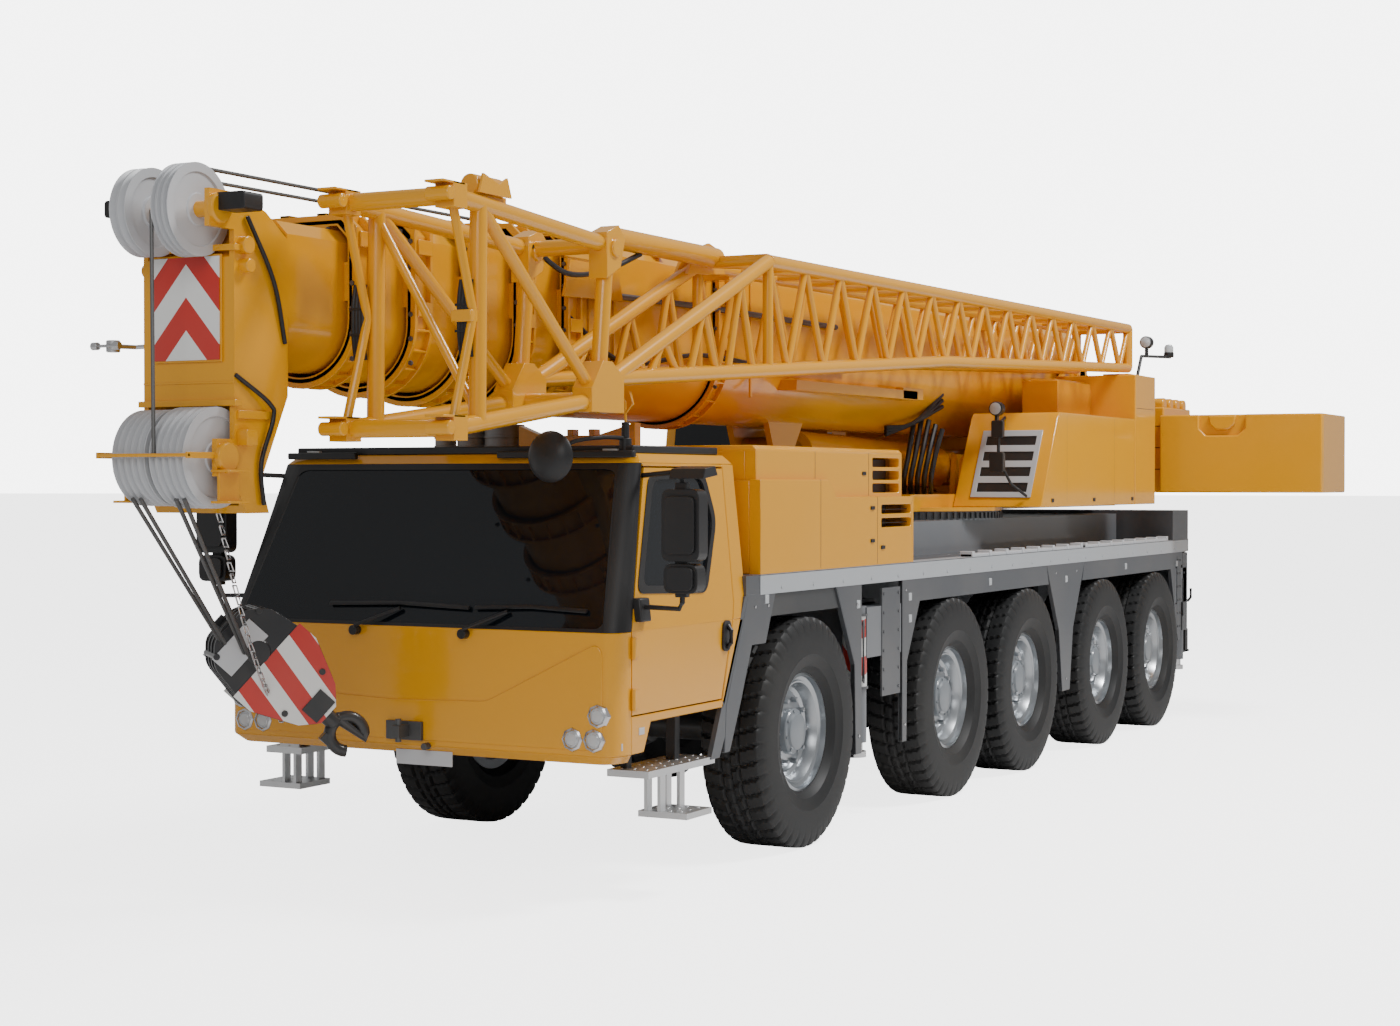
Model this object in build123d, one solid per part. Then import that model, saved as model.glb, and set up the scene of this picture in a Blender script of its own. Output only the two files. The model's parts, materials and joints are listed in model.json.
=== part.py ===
"""Five-axle all-terrain telescopic crane, in millimetres.

The model is drawn with the first axle at Y = 0, the ground at Z = 0, +X to the vehicle's left,
+Y to the rear. save() moves everything along Y so that the origin lies under the middle of the
whole machine.
"""
from build123d import *
import os

os.makedirs("parts", exist_ok=True)

# ---------------------------------------------------------------- driving sizes
TYRES_WIDTH = 2750.0        # over the tyres
BODY_WIDTH = 2660.0         # over the cab, hood and side panels
HALF = BODY_WIDTH / 2
SEAT = 0.3                  # gap between pieces that rest on each other
PIN_GAP = 0.4               # radial gap of a pin in its bore
RUN_GAP = 8.0               # gap between pieces that pass each other

AXLE_Y = (0.0, 2570.0, 4220.0, 6235.0, 7885.0)
STEERED = (1, 2, 4, 5)
TYRE_D = 1464.0
TYRE_W = 440.0
RIM_SEAT_D = 636.0
RIM_EDGE_D = 744.0
RIM_W = 300.0
HUB_Z = TYRE_D / 2
WHEEL_X = (TYRES_WIDTH - TYRE_W) / 2
KINGPIN_X = WHEEL_X - 185.0

FRAME_HALF = 450.0
FRAME_BOTTOM = 960.0
FRAME_WALL = 30.0
FRAME_FRONT = -860.0
NOSE_BOTTOM = 780.0
DECK_TOP = 1750.0
DECK_T = 30.0
DECK_FRONT = -840.0
DECK_REAR = 9080.0
BAND_H = 120.0
PANEL_T = 30.0
PANEL_BOTTOM = 500.0
VALANCE_BOTTOM = TYRE_D + RUN_GAP
HUMP_HALF = 800.0
HUMP_TOP = 2010.0
HUMP_FRONT = 1900.0
HUMP_REAR = 8400.0

SLEW_Y = 4600.0
RING_R = 900.0
RING_H = 70.0
TURN_BOTTOM = HUMP_TOP + RING_H + SEAT
TURN_HALF = 560.0

CAB_FRONT = -2400.0
CAB_REAR = -880.0
CAB_FLOOR = 990.0
CAB_ROOF = 2475.0
CAB_WALL = 45.0
BUMPER_BOTTOM = 780.0
BUMPER_REAR = -2100.0
SCREEN_BOTTOM = 1500.0
SCREEN_TOP = 2420.0
SCREEN_LEAN = 200.0         # how far the screen's top lies behind its foot
SCREEN_HALF = 1230.0
DOOR_FRONT = -2215.0
DOOR_REAR = -1000.0
DOOR_BOTTOM = 1010.0
DOOR_TOP = 2420.0
DOOR_GAP = 6.0
HINGE_R = 14.0

HOOD_TOP = 2540.0
HOOD_REAR = 1870.0

OUT_FRONT_Y = (1110.0, 1580.0)
OUT_REAR_Y = (8660.0, 9020.0)
JACK_FRONT_Y = 1000.0
JACK_REAR_Y = 8960.0
OUT_Z = (1140.0, 1480.0)
OUT_WALL = 20.0
JACK_R = 80.0
JACK_ROD_R = 55.0
JACK_BOTTOM = 560.0
JACK_TOP = 1480.0
JACK_X = HALF - 15.0 - JACK_R
BOX_HALF = JACK_X - JACK_R - 15.0      # half length of the outrigger boxes

LUFF_Y = 8000.0
LUFF_Z = 3350.0
TRUNNION_R = 90.0
BOOM_MID_Z = 3250.0
BASE_W = 880.0
BASE_H = 1060.0
SECTION_STEP = 64.0         # each section is this much narrower and lower than the last
BOOM_WALL = 10.0
BASE_FRONT = -1500.0
BASE_REAR = 8150.0
COLLAR_PITCH = 475.0        # how far each section stands out of the one before
SECTION_COUNT = 5
SECTION_L = 9200.0
COLLAR_L = 170.0
COLLAR_T = 18.0
HEAD_W = 567.0
HEAD_FRONT = -4280.0
HEAD_REAR = -3870.0
SHEAVE_TOP = (-4400.0, 3620.0, 225.0)     # Y, Z, radius
SHEAVE_LOW = (-4350.0, 2430.0, 245.0)

CYL_TAIL = (5600.0, 2450.0)
CYL_EYE = (2100.0, 2540.0)
CYL_R = 190.0
CYL_ROD_R = 120.0
TAIL_PIN_R = 60.0

CW_FRONT = 8330.0
CW_CORE_FRONT = 8480.0
CW_REAR = 9450.0
CW_BOTTOM = 2216.0
CW_TOP = 2965.0
CW_HALF = 2800.0
CW_CORE_HALF = 1250.0
TURN_TOP = CW_BOTTOM - SEAT

JIB_X = (650.0, 1150.0)
JIB_FOOT_X = (545.0, 1180.0)
JIB_FOOT_Y = -3750.0
CHORD_R = 45.0
BRACE_R = 40.0

FRONT_END = SHEAVE_TOP[0] - SHEAVE_TOP[2]
ORIGIN_Y = (FRONT_END + CW_REAR) / 2
SIDES = (("left", 1), ("right", -1))


# ---------------------------------------------------------------- shape helpers
def block(x, y, z):
    """Box from three (low, high) pairs."""
    sizes = [abs(pair[1] - pair[0]) for pair in (x, y, z)]
    middle = [(pair[0] + pair[1]) / 2 for pair in (x, y, z)]
    return Pos(*middle) * Box(*sizes)


def bar(start, end, radius):
    """Round bar from one point to another."""
    run = Vector(*end) - Vector(*start)
    low = (Align.CENTER, Align.CENTER, Align.MIN)
    return Plane(origin=start, z_dir=run) * Cylinder(radius, run.length, align=low)


def bar_x(x, y, z, radius):
    """Round bar along X, from x[0] to x[1]."""
    return bar((min(x), y, z), (max(x), y, z), radius)


def bar_z(x, y, z, radius):
    """Round bar along Z, from z[0] to z[1]."""
    return bar((x, y, min(z)), (x, y, max(z)), radius)


def side_plate(outline, x):
    """Plate whose outline is given as (Y, Z) points, between two X values."""
    face = Plane.YZ.offset(min(x)) * Polygon(*outline, align=None)
    return extrude(face, abs(x[1] - x[0]), dir=(1, 0, 0))


def spin_x(outline, centre):
    """Ring or disc spun about an X axis through centre, from (radius, X) points."""
    face = make_face(Polyline(*outline, close=True))
    placed = Plane(origin=centre, x_dir=(0, 0, 1), z_dir=(0, 1, 0)) * face
    return revolve(placed, Axis(centre, (1, 0, 0)))


def mirror_x(shape):
    """The same shape on the other side of the vehicle."""
    return mirror(shape, Plane.YZ)


def on_side(shape, side):
    """A shape drawn for the left side, on side +1 (left) or -1 (right)."""
    return shape if side > 0 else mirror_x(shape)


def save(name, *shapes):
    """Write the solids of one node, moved so that the origin is under the machine's middle."""
    solids = [solid for shape in shapes for solid in shape.solids()]
    moved = [Pos(0, -ORIGIN_Y, 0) * solid for solid in solids]
    export_step(moved[0] if len(moved) == 1 else Compound(moved), f"parts/{name}.step")


# ---------------------------------------------------------------- wheels and axles
def wheel(axle_y):
    """Rim with its hub cap, and the tyre round it, for the left side."""
    edge = RIM_EDGE_D / 2
    seat = RIM_SEAT_D / 2
    half = RIM_W / 2
    rim_outline = [
        (0, -HUB_SET), (FLANGE_R + 5, -HUB_SET), (282, 0), (290, 20 - half), (edge - 20, -half), (edge, -half),
        (edge, 14 - half), (seat, 34 - half), (seat, half - 34), (edge, half - 14), (edge, half),
        (edge - 20, half), (290, half - 60), (282, 36), (165, 52), (150, 58), (150, 118), (0, 118),
    ]
    bead = seat + SEAT
    tread = TYRE_D / 2
    wide = TYRE_W / 2
    tyre_outline = [
        (bead, 35 - half), (edge + SEAT, 14 - half + SEAT), (edge + 18, -half), (525, -wide), (600, -wide),
        (tread - 34, 26 - wide), (tread, 62 - wide), (tread, wide - 62), (tread - 34, wide - 26),
        (600, wide), (525, wide), (edge + 18, half), (edge + SEAT, half - 14 - SEAT), (bead, half - 35),
    ]
    centre = (WHEEL_X, axle_y, HUB_Z)
    return [spin_x(outline, centre) for outline in (rim_outline, tyre_outline)]


KNUCKLE_R = 95.0
KNUCKLE_H = 150.0           # half height of the kingpin housing
DRUM_R = 210.0
ARM_T = 45.0
FLANGE_R = 125.0
HUB_SET = 20.0              # how far the wheel's inner flange lies inside its centre plane


def hub_drum(axle_y):
    """Brake drum and hub, ending face to face with the wheel."""
    outer = WHEEL_X - HUB_SET - SEAT
    drum = bar_x((KINGPIN_X + 88, outer - 30), axle_y, HUB_Z, DRUM_R)
    return drum + bar_x((KINGPIN_X + 60, outer), axle_y, HUB_Z, FLANGE_R)


def knuckle(axle_y):
    """Kingpin housing with the hub drum and a steering arm."""
    housing = bar_z(KINGPIN_X, axle_y, (HUB_Z - KNUCKLE_H, HUB_Z + KNUCKLE_H), KNUCKLE_R)
    arm = block((KINGPIN_X - 40, KINGPIN_X + 20), (axle_y + 60, axle_y + 230), (HUB_Z - 120, HUB_Z - 70))
    return housing + hub_drum(axle_y) + arm


def axle_beam(axle_y, steered):
    """Axle tube with its differential and, on a steered axle, a fork round each kingpin."""
    reach = KINGPIN_X - KNUCKLE_R - 40 if steered else KINGPIN_X + 40
    beam = bar_x((-reach, reach), axle_y, HUB_Z, 90.0)
    bowl = [(0, -230), (120, -230), (190, -90), (190, 90), (120, 230), (0, 230)]
    beam += spin_x(bowl, (0, axle_y, HUB_Z))
    for side in (1, -1):
        ram = bar_z(side * 640.0, axle_y, (HUB_Z, 1300.0), 50.0)
        beam += ram + block((side * FRAME_HALF, side * 720.0), (axle_y - 60, axle_y + 60), (1300, 1400))
        if steered:
            inner = KINGPIN_X - KNUCKLE_R - 100
            top = HUB_Z + KNUCKLE_H + SEAT
            beam += block((side * inner, side * (inner + 60)), (axle_y - 80, axle_y + 80),
                          (2 * HUB_Z - top - ARM_T, top + ARM_T))
            for low in (top, 2 * HUB_Z - top - ARM_T):
                beam += block((side * inner, side * KINGPIN_X), (axle_y - 80, axle_y + 80), (low, low + ARM_T))
                beam += bar_z(side * KINGPIN_X, axle_y, (low, low + ARM_T), 80.0)
        else:
            outer = WHEEL_X - HUB_SET - SEAT
            beam += bar_x((side * (KINGPIN_X + 88), side * (outer - 30)), axle_y, HUB_Z, DRUM_R)
            beam += bar_x((side * KINGPIN_X, side * outer), axle_y, HUB_Z, FLANGE_R)
    return beam


# ---------------------------------------------------------------- chassis
def outrigger_box(y):
    """Cross box with one channel for each outrigger beam, open at both ends."""
    half = BOX_HALF
    outer = block((-half, half), (y[0] - OUT_WALL, y[1] + OUT_WALL), (OUT_Z[0] - OUT_WALL, OUT_Z[1] + OUT_WALL))
    middle = (y[0] + y[1]) / 2
    for low, high in ((y[0], middle - OUT_WALL / 2), (middle + OUT_WALL / 2, y[1])):
        outer -= block((-half - 1, half + 1), (low, high), OUT_Z)
    return outer


def chassis_frame():
    """Box frame, the outrigger boxes, the raised middle and the slew ring's seat."""
    deck_under = DECK_TOP - DECK_T
    frame = block((-FRAME_HALF, FRAME_HALF), (FRAME_FRONT, DECK_REAR - 20), (FRAME_BOTTOM, deck_under))
    frame += block((-FRAME_HALF, FRAME_HALF), (BUMPER_REAR + RUN_GAP, FRAME_FRONT + 300), (NOSE_BOTTOM, CAB_FLOOR - SEAT))
    room = FRAME_HALF - FRAME_WALL
    frame -= block((-room, room), (FRAME_FRONT - 1, DECK_REAR), (FRAME_BOTTOM + FRAME_WALL, deck_under - FRAME_WALL))
    for y in (OUT_FRONT_Y, OUT_REAR_Y):
        frame -= block((-BOX_HALF, BOX_HALF), (y[0] - 1, y[1] + 1), (OUT_Z[0] - 1, OUT_Z[1] + 1))
        frame += outrigger_box(y)
    frame += block((-HUMP_HALF, HUMP_HALF), (HUMP_FRONT, HUMP_REAR), (deck_under, HUMP_TOP)) - block(
        (FRAME_WALL - HUMP_HALF, HUMP_HALF - FRAME_WALL), (HUMP_FRONT + FRAME_WALL, HUMP_REAR - FRAME_WALL),
        (deck_under + FRAME_WALL, HUMP_TOP - FRAME_WALL))
    frame += bar_z(0, SLEW_Y, (HUMP_TOP, HUMP_TOP + RING_H), RING_R)
    return frame


def arch_posts():
    """Outlines (Y, Z) of the posts and valances between the wheel arches, front to rear."""
    under = DECK_TOP - BAND_H
    foot = PANEL_BOTTOM
    return (
        [(-855, under), (-745, under), (-1080, 880), (-1190, 700), (-1300, 700)],
        [(480, under), (780, 1100), (800, foot), (900, foot), (900, under)],
        [(1610, under), (2030, under), (1700, 1060), (1690, foot), (1610, foot)],
        [(2030, under), (4720, under), (4780, VALANCE_BOTTOM), (1930, VALANCE_BOTTOM)],
        [(4720, under), (5735, under), (5420, 1080), (5330, 560), (5130, 560), (5040, 1080)],
        [(5735, under), (8345, under), (8450, VALANCE_BOTTOM), (5675, VALANCE_BOTTOM)],
        [(8345, under), (8870, under), (8870, OUT_Z[1] + 20), (8625, OUT_Z[1] + 20), (8625, OUT_Z[0] - 20),
         (8800, OUT_Z[0] - 20), (8800, 760), (8720, 760), (8690, 820), (8450, VALANCE_BOTTOM)],
    )


def side_panels():
    """Deck plate with its edge bands and the posts and valances of both sides."""
    deck = block((-HALF, HALF), (DECK_FRONT, DECK_REAR), (DECK_TOP - DECK_T, DECK_TOP))
    inner = HALF - PANEL_T
    for side in (1, -1):
        band = block((side * inner, side * HALF), (DECK_FRONT, DECK_REAR), (DECK_TOP - BAND_H, DECK_TOP))
        deck += band
        for outline in arch_posts():
            deck += side_plate(outline, (side * inner, side * HALF))
    deck -= block((-HUMP_HALF, HUMP_HALF), (HUMP_FRONT, HUMP_REAR), (DECK_TOP - 2 * DECK_T, DECK_TOP + 1))
    return deck + block((-HALF, HALF), (HUMP_REAR + 120, DECK_REAR), (DECK_TOP - 1, HUMP_TOP + 30))


def outrigger_beam(y, channel, jack_y, side):
    """Sliding beam with its end cover and jack barrel; drawn for the left and mirrored."""
    middle = (y[0] + y[1]) / 2
    low, high = ((y[0], middle - OUT_WALL / 2), (middle + OUT_WALL / 2, y[1]))[channel]
    gap = 5.0
    tip = BOX_HALF + RUN_GAP
    beam = block((300 - BOX_HALF, tip), (low + gap, high - gap), (OUT_Z[0] + SEAT, OUT_Z[1] - gap))
    near = min(y[0] - OUT_WALL, jack_y)
    far = max(y[1] + OUT_WALL, jack_y)
    beam += block((tip, HALF - 5), (near, far), (OUT_Z[0] - 10, OUT_Z[1] - 10))
    barrel = bar_z(JACK_X, jack_y, (JACK_BOTTOM, JACK_TOP), JACK_R)
    bore = bar_z(JACK_X, jack_y, (JACK_BOTTOM - 1, JACK_TOP - 60), JACK_ROD_R + PIN_GAP)
    return on_side(beam + barrel - bore, side)


def outrigger_jack(jack_y, side):
    """Jack rod with its foot, retracted in the barrel."""
    rod = bar_z(JACK_X, jack_y, (JACK_BOTTOM - 60, JACK_TOP - 80), JACK_ROD_R)
    foot = bar_z(JACK_X, jack_y, (JACK_BOTTOM - 100, JACK_BOTTOM - 60), 78.0)
    return on_side(rod + foot, side)


# ---------------------------------------------------------------- cab
def cab_outline(inset):
    """Side outline (Y, Z) of the cab, drawn in by inset on every wall."""
    front = CAB_FRONT + inset
    lean = CAB_FRONT + SCREEN_LEAN + inset
    return [
        (front, CAB_FLOOR + inset), (front, SCREEN_BOTTOM), (lean, SCREEN_TOP), (lean + 90, CAB_ROOF - inset),
        (CAB_REAR - inset - 60, CAB_ROOF - inset), (CAB_REAR - inset, CAB_ROOF - inset - 60),
        (CAB_REAR - inset, 1650), (CAB_REAR - 305 - inset, CAB_FLOOR + inset),
    ]


def plan_corners(z):
    """Plan of the cab with its front corners cut back."""
    corner = [(-HALF, CAB_REAR), (HALF, CAB_REAR), (HALF, CAB_FRONT + 130), (HALF - 75, CAB_FRONT),
              (75 - HALF, CAB_FRONT), (-HALF, CAB_FRONT + 130)]
    return extrude(Plane.XY.offset(z[0]) * Polygon(*corner, align=None), z[1] - z[0], dir=(0, 0, 1))


def door_edge(gap):
    """Outline (Y, Z) of the door, drawn in by gap."""
    return [(DOOR_FRONT + gap, DOOR_BOTTOM + gap), (DOOR_REAR - 300 - gap, DOOR_BOTTOM + gap),
            (DOOR_REAR - gap, 1640), (DOOR_REAR - gap, DOOR_TOP - gap), (DOOR_FRONT + gap, DOOR_TOP - gap)]


def cab_shell():
    """Hollow cab with its screen, door and rear window openings, and the bumper below."""
    shell = side_plate(cab_outline(0), (-HALF, HALF)) & plan_corners((CAB_FLOOR - 1, CAB_ROOF + 1))
    room = side_plate(cab_outline(CAB_WALL), (CAB_WALL - HALF, HALF - CAB_WALL))
    room &= Pos(0, CAB_WALL * 1.2, 0) * plan_corners((CAB_FLOOR - 1, CAB_ROOF + 1))
    shell -= room
    shell -= block((-SCREEN_HALF, SCREEN_HALF), (CAB_FRONT - 10, CAB_FRONT + 330), (SCREEN_BOTTOM, SCREEN_TOP))
    shell -= block((-520, 520), (CAB_REAR - 100, CAB_REAR + 1), (1750, 2250))
    for side in (1, -1):
        shell -= side_plate(door_edge(0), (side * (HALF - CAB_WALL - 1), side * (HALF + 1)))
        for z in (DOOR_BOTTOM + 150, DOOR_TOP - 250):
            shell += bar_z(side * (HALF + HINGE_R), DOOR_FRONT - 4, (z, z + 60), HINGE_R)
            shell += block((side * (HALF - 20), side * (HALF + HINGE_R)),
                           (DOOR_FRONT - 34, DOOR_FRONT - 4), (z, z + 60))
    bumper = side_plate([(CAB_FRONT, CAB_FLOOR), (CAB_FRONT + 25, BUMPER_BOTTOM),
                         (BUMPER_REAR - 50, BUMPER_BOTTOM), (BUMPER_REAR, CAB_FLOOR)], (-HALF, HALF))
    return shell + (bumper & plan_corners((BUMPER_BOTTOM - 1, CAB_FLOOR)))


def cab_glass():
    """Windscreen and rear window, set in their openings."""
    t = 8.0
    foot = CAB_FRONT + 14.0
    rise = SCREEN_TOP - SCREEN_BOTTOM - 2 * SEAT
    screen = side_plate([(foot, SCREEN_BOTTOM + SEAT), (foot + t, SCREEN_BOTTOM + SEAT),
                         (foot + t + SCREEN_LEAN, SCREEN_BOTTOM + SEAT + rise),
                         (foot + SCREEN_LEAN, SCREEN_BOTTOM + SEAT + rise)],
                        (SEAT - SCREEN_HALF, SCREEN_HALF - SEAT))
    rear = block((SEAT - 520, 520 - SEAT), (CAB_REAR - 30, CAB_REAR - 22), (1750 + SEAT, 2250 - SEAT))
    return [screen, rear]


def cab_interior():
    """Two seats, the dash and the steering wheel on the cab floor."""
    floor = CAB_FLOOR + CAB_WALL + SEAT
    dash = side_plate([(CAB_FRONT + CAB_WALL + 20, floor), (CAB_FRONT + CAB_WALL + 20, 1440), (-2000, 1480),
                       (-1960, 1350), (-2100, floor)], (-1220, 1220))
    parts = []
    for x in (-700, 700):
        seat = block((x - 250, x + 250), (-1750, -1300), (floor, floor + 130))
        seat += block((x - 240, x + 240), (-1810, -1270), (floor + 120, floor + 420))
        seat += side_plate([(-1340, floor + 400), (-1240, floor + 400), (-1100, 2250), (-1200, 2250)],
                           (x - 230, x + 230))
        parts.append(seat)
    column = bar((700, -1990, 1400), (700, -1800, 1560), 30.0)
    ring = Plane(origin=(700, -1800, 1560), z_dir=(0, 190, 160)) * Torus(215.0, 18.0)
    spoke = Plane(origin=(700, -1800, 1560), z_dir=(0, 190, 160)) * Box(430, 40, 18)
    return [dash + column + ring + spoke] + parts


def door_outline(inset):
    """Outline (Y, Z) of the door window."""
    return [(-2160 + inset, 1720 + inset), (-2100 + inset, 2350 - inset), (-1420, 2370 - inset),
            (-1290 - inset, 2250), (-1290 - inset, 1800), (-1370 - inset, 1680 + inset), (-1700, 1660 + inset)]


def cab_door(side):
    """Door as thick as the cab wall, with its window cut and its hinge knuckles."""
    inner = HALF - CAB_WALL
    door = side_plate(door_edge(DOOR_GAP), (inner, HALF))
    door -= side_plate(door_outline(0), (inner - 1, HALF + 1))
    for z in (DOOR_BOTTOM + 150, DOOR_TOP - 250):
        low = z + 60 + SEAT
        door += bar_z(HALF + HINGE_R, DOOR_FRONT - 4, (low, low + 60), HINGE_R)
        door += block((HALF - 20, HALF + HINGE_R), (DOOR_FRONT - 4, DOOR_FRONT + 40), (low, low + 60)) - block(
            (HALF - 30, HALF), (DOOR_FRONT - 20, DOOR_FRONT + DOOR_GAP), (low - 1, low + 61))
    return on_side(door, side)


def door_glass(side):
    """Side window pane, set in the door."""
    pane = side_plate(door_outline(SEAT), (HALF - 30, HALF - 24))
    return on_side(pane, side)


def mirror_set(side):
    """Mirror housing with its two arms, carried by the door."""
    housing = block((HALF + 235, HALF + 300), (-2270, -2070), (1720, 2330))
    housing = fillet(housing.edges().filter_by(Axis.X), 30)
    frame = bar_z(HALF + 268, -2170, (1640, 2400), 14)
    for z in (1655, 2385):
        frame += bar_x((HALF + SEAT, HALF + 268), -2170, z, 14)
    return on_side(housing + frame, side)


def access_steps():
    """Hanging steps under both cab corners."""
    steps = []
    for side in (1, -1):
        plate = block((side * 1130, side * HALF), (-1950, -1560), (690, 720))
        tread = block((side * 1180, side * 1520), (-1900, -1620), (440, 470))
        hangers = [block((side * x, side * (x + 60)), (-1790, -1730), (455, 700)) for x in (1200, 1315)]
        post = block((side * 1140, side * 1200), (-1800, -1740), (700, CAB_FLOOR - SEAT))
        steps.append(plate + tread + hangers[0] + hangers[1] + post)
    return steps


def engine_cover():
    """Hood behind the cab: a wide lower half and a narrower upper half, hollow below."""
    low = DECK_TOP + SEAT
    hood = block((SEAT - HALF, HALF - SEAT), (DECK_FRONT, HOOD_REAR), (low, 2250))
    hood += block((40 - HALF, HALF - 40), (CAB_REAR + 20, HOOD_REAR - 90), (2250, HOOD_TOP))
    hood -= block((70 - HALF, HALF - 70), (DECK_FRONT + 40, HOOD_REAR - 140), (low - 1, HOOD_TOP - 30))
    slots = [(HOOD_REAR - 450, HOOD_REAR - 60, z, z + 55) for z in (1960, 2060, 2160)]
    slots += [(HOOD_REAR - 450, HOOD_REAR - 130, z, z + 55) for z in (2290, 2370, 2450)]
    for y0, y1, z0, z1 in slots:
        for side in (1, -1):
            hood -= block((side * (HALF - 110), side * (HALF + 1)), (y0, y1), (z0, z1))
    return hood


def engine_block():
    """Engine and gearbox as one plain block."""
    return block((-420, 420), (-600, 1200), (DECK_TOP + SEAT, 2350))


# ---------------------------------------------------------------- superstructure
DISC_T = 30.0
COVER_T = 30.0


def turntable():
    """Disc on the slew ring and base box, with the cheeks that carry the boom and the cylinder."""
    plate = bar_z(0, SLEW_Y, (TURN_BOTTOM, TURN_BOTTOM + DISC_T), RING_R + 30)
    plate += block((-TURN_HALF, TURN_HALF), (SLEW_Y - 950, CW_REAR - 300), (TURN_BOTTOM, TURN_TOP))
    base_half = BASE_W / 2
    for side in (1, -1):
        plate += side_plate([(4900, TURN_TOP), (8250, TURN_TOP), (8250, LUFF_Z + 60), (8150, LUFF_Z + 200),
                             (7850, LUFF_Z + 200), (7600, LUFF_Z), (6900, 2900), (5300, 2680), (4950, 2500)],
                            (side * (base_half + 40), side * (base_half + 100)))
    plate -= bar_x((-600, 600), LUFF_Y, LUFF_Z, TRUNNION_R + PIN_GAP)
    for side in (1, -1):
        plate += side_plate([(CYL_TAIL[0] - 160, TURN_TOP), (CYL_TAIL[0] + 160, TURN_TOP),
                             (CYL_TAIL[0] + 110, CYL_TAIL[1] + 110), (CYL_TAIL[0] - 110, CYL_TAIL[1] + 110)],
                            (side * (CYL_R + RUN_GAP), side * (CYL_R + RUN_GAP + 50)))
    return plate + bar_x((-CYL_R - 30, CYL_R + 30), CYL_TAIL[0], CYL_TAIL[1], TAIL_PIN_R)


def machinery_housing():
    """Covers on both sides of the turntable, the near one with its louvred front."""
    parts = []
    inner = TURN_HALF + SEAT
    low = TURN_BOTTOM + DISC_T + SEAT
    for side in (1, -1):
        body = side_plate([(4620, low), (7300, low), (7300, 2900), (5080, 2900), (4900, 2820)],
                          (side * inner, side * HALF))
        body += block((side * inner, side * HALF), (7320, 7940), (low, 3310))
        body += block((side * inner, side * (HALF - 60)), (7299, 7321), (low + 60, 2800))
        body -= side_plate([(4620 + COVER_T, low - 1), (7300 - COVER_T, low - 1), (7300 - COVER_T, 2900 - COVER_T),
                            (5120, 2900 - COVER_T), (4945, 2820 - COVER_T)],
                           (side * (inner + COVER_T), side * (HALF - COVER_T)))
        body -= block((side * (inner + COVER_T), side * (HALF - COVER_T)), (7320 + COVER_T, 7940 - COVER_T),
                      (low - 1, 3310 - COVER_T))
        parts.append(body)
    return parts


CRANE_CAB_Y = (3050.0, 4560.0)
CRANE_CAB_X = (-1340.0, -575.0)
CRANE_CAB_Z = (2125.0, 3420.0)
CRANE_CAB_WALL = 40.0


def crane_cab_outline(inset):
    """Side outline (Y, Z) of the crane driver's cab, drawn in by inset."""
    low, high = CRANE_CAB_Z
    front, rear = CRANE_CAB_Y
    return [(front + 180 + inset, low + inset), (front + inset, low + 350), (front + 160 + inset, high - inset),
            (rear - inset, high - inset), (rear - inset, low + inset)]


def crane_cab():
    """Hollow cab of the crane driver, beside the boom, with its windows cut, and its seat."""
    x0, x1 = CRANE_CAB_X
    wall = CRANE_CAB_WALL
    shell = side_plate(crane_cab_outline(0), (x0, x1))
    shell -= side_plate(crane_cab_outline(wall), (x0 + wall, x1 - wall))
    front, rear = CRANE_CAB_Y
    shell -= block((x0 + 80, x1 - 80), (front - 1, front + 240), (CRANE_CAB_Z[0] + 420, CRANE_CAB_Z[1] - 120))
    shell -= block((x0 - 1, x0 + wall + 1), (front + 330, rear - 120), (CRANE_CAB_Z[0] + 450, CRANE_CAB_Z[1] - 120))
    shell -= block((x1 - wall - 1, x1 + 1), (front + 330, rear - 500), (CRANE_CAB_Z[0] + 600, CRANE_CAB_Z[1] - 120))
    middle = (x0 + x1) / 2
    seat = block((middle - 230, middle + 230), (3650, 4150), (CRANE_CAB_Z[0] + wall - 5, CRANE_CAB_Z[0] + 480))
    seat += block((middle - 220, middle + 220), (4080, 4180), (CRANE_CAB_Z[0] + 480, CRANE_CAB_Z[0] + 1050))
    bracket = block((x1 - 40, -TURN_HALF - SEAT), (3700, 4500), (CRANE_CAB_Z[0], TURN_TOP))
    return shell + seat + bracket


def counterweight():
    """Stacked core slabs between two long side slabs."""
    core = block((-CW_CORE_HALF, CW_CORE_HALF), (CW_CORE_FRONT, CW_REAR), (CW_BOTTOM, 3050))
    for side in (1, -1):
        core += block((side * CW_CORE_HALF, side * CW_HALF), (CW_FRONT, CW_REAR - 60), (CW_BOTTOM, CW_TOP))
    return core


def winch_drum():
    """Hoist drum with its flanges, between the cheeks."""
    y = 6850.0
    z = TURN_TOP + 240.0
    half = BASE_W / 2 + 40 - SEAT
    drum = bar_x((-half, half), y, z, 170.0)
    for side in (1, -1):
        drum += bar_x((side * (half - 30), side * (half - 5)), y, z, 228.0)
    return drum


# ---------------------------------------------------------------- boom
def section_face(width, height, y):
    """Boom section: chamfered top, straight sides and a half-round underside, at one Y."""
    half = width / 2
    top = height / 2
    low = half - height / 2
    corner = 70.0
    outline = Polyline((-half, low), (-half, top - corner), (corner - half, top), (half - corner, top),
                       (half, top - corner), (half, low))
    round_part = ThreePointArc((half, low), (0, -height / 2), (-half, low))
    face = make_face(outline + round_part)
    return Plane(origin=(0, y, BOOM_MID_Z), x_dir=(1, 0, 0), z_dir=(0, -1, 0)) * face


def section_solid(width, height, y):
    """Boom section as a solid, from its forward end y[0] to its rear end y[1]."""
    return extrude(section_face(width, height, y[0]), y[1] - y[0], dir=(0, 1, 0))


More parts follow.
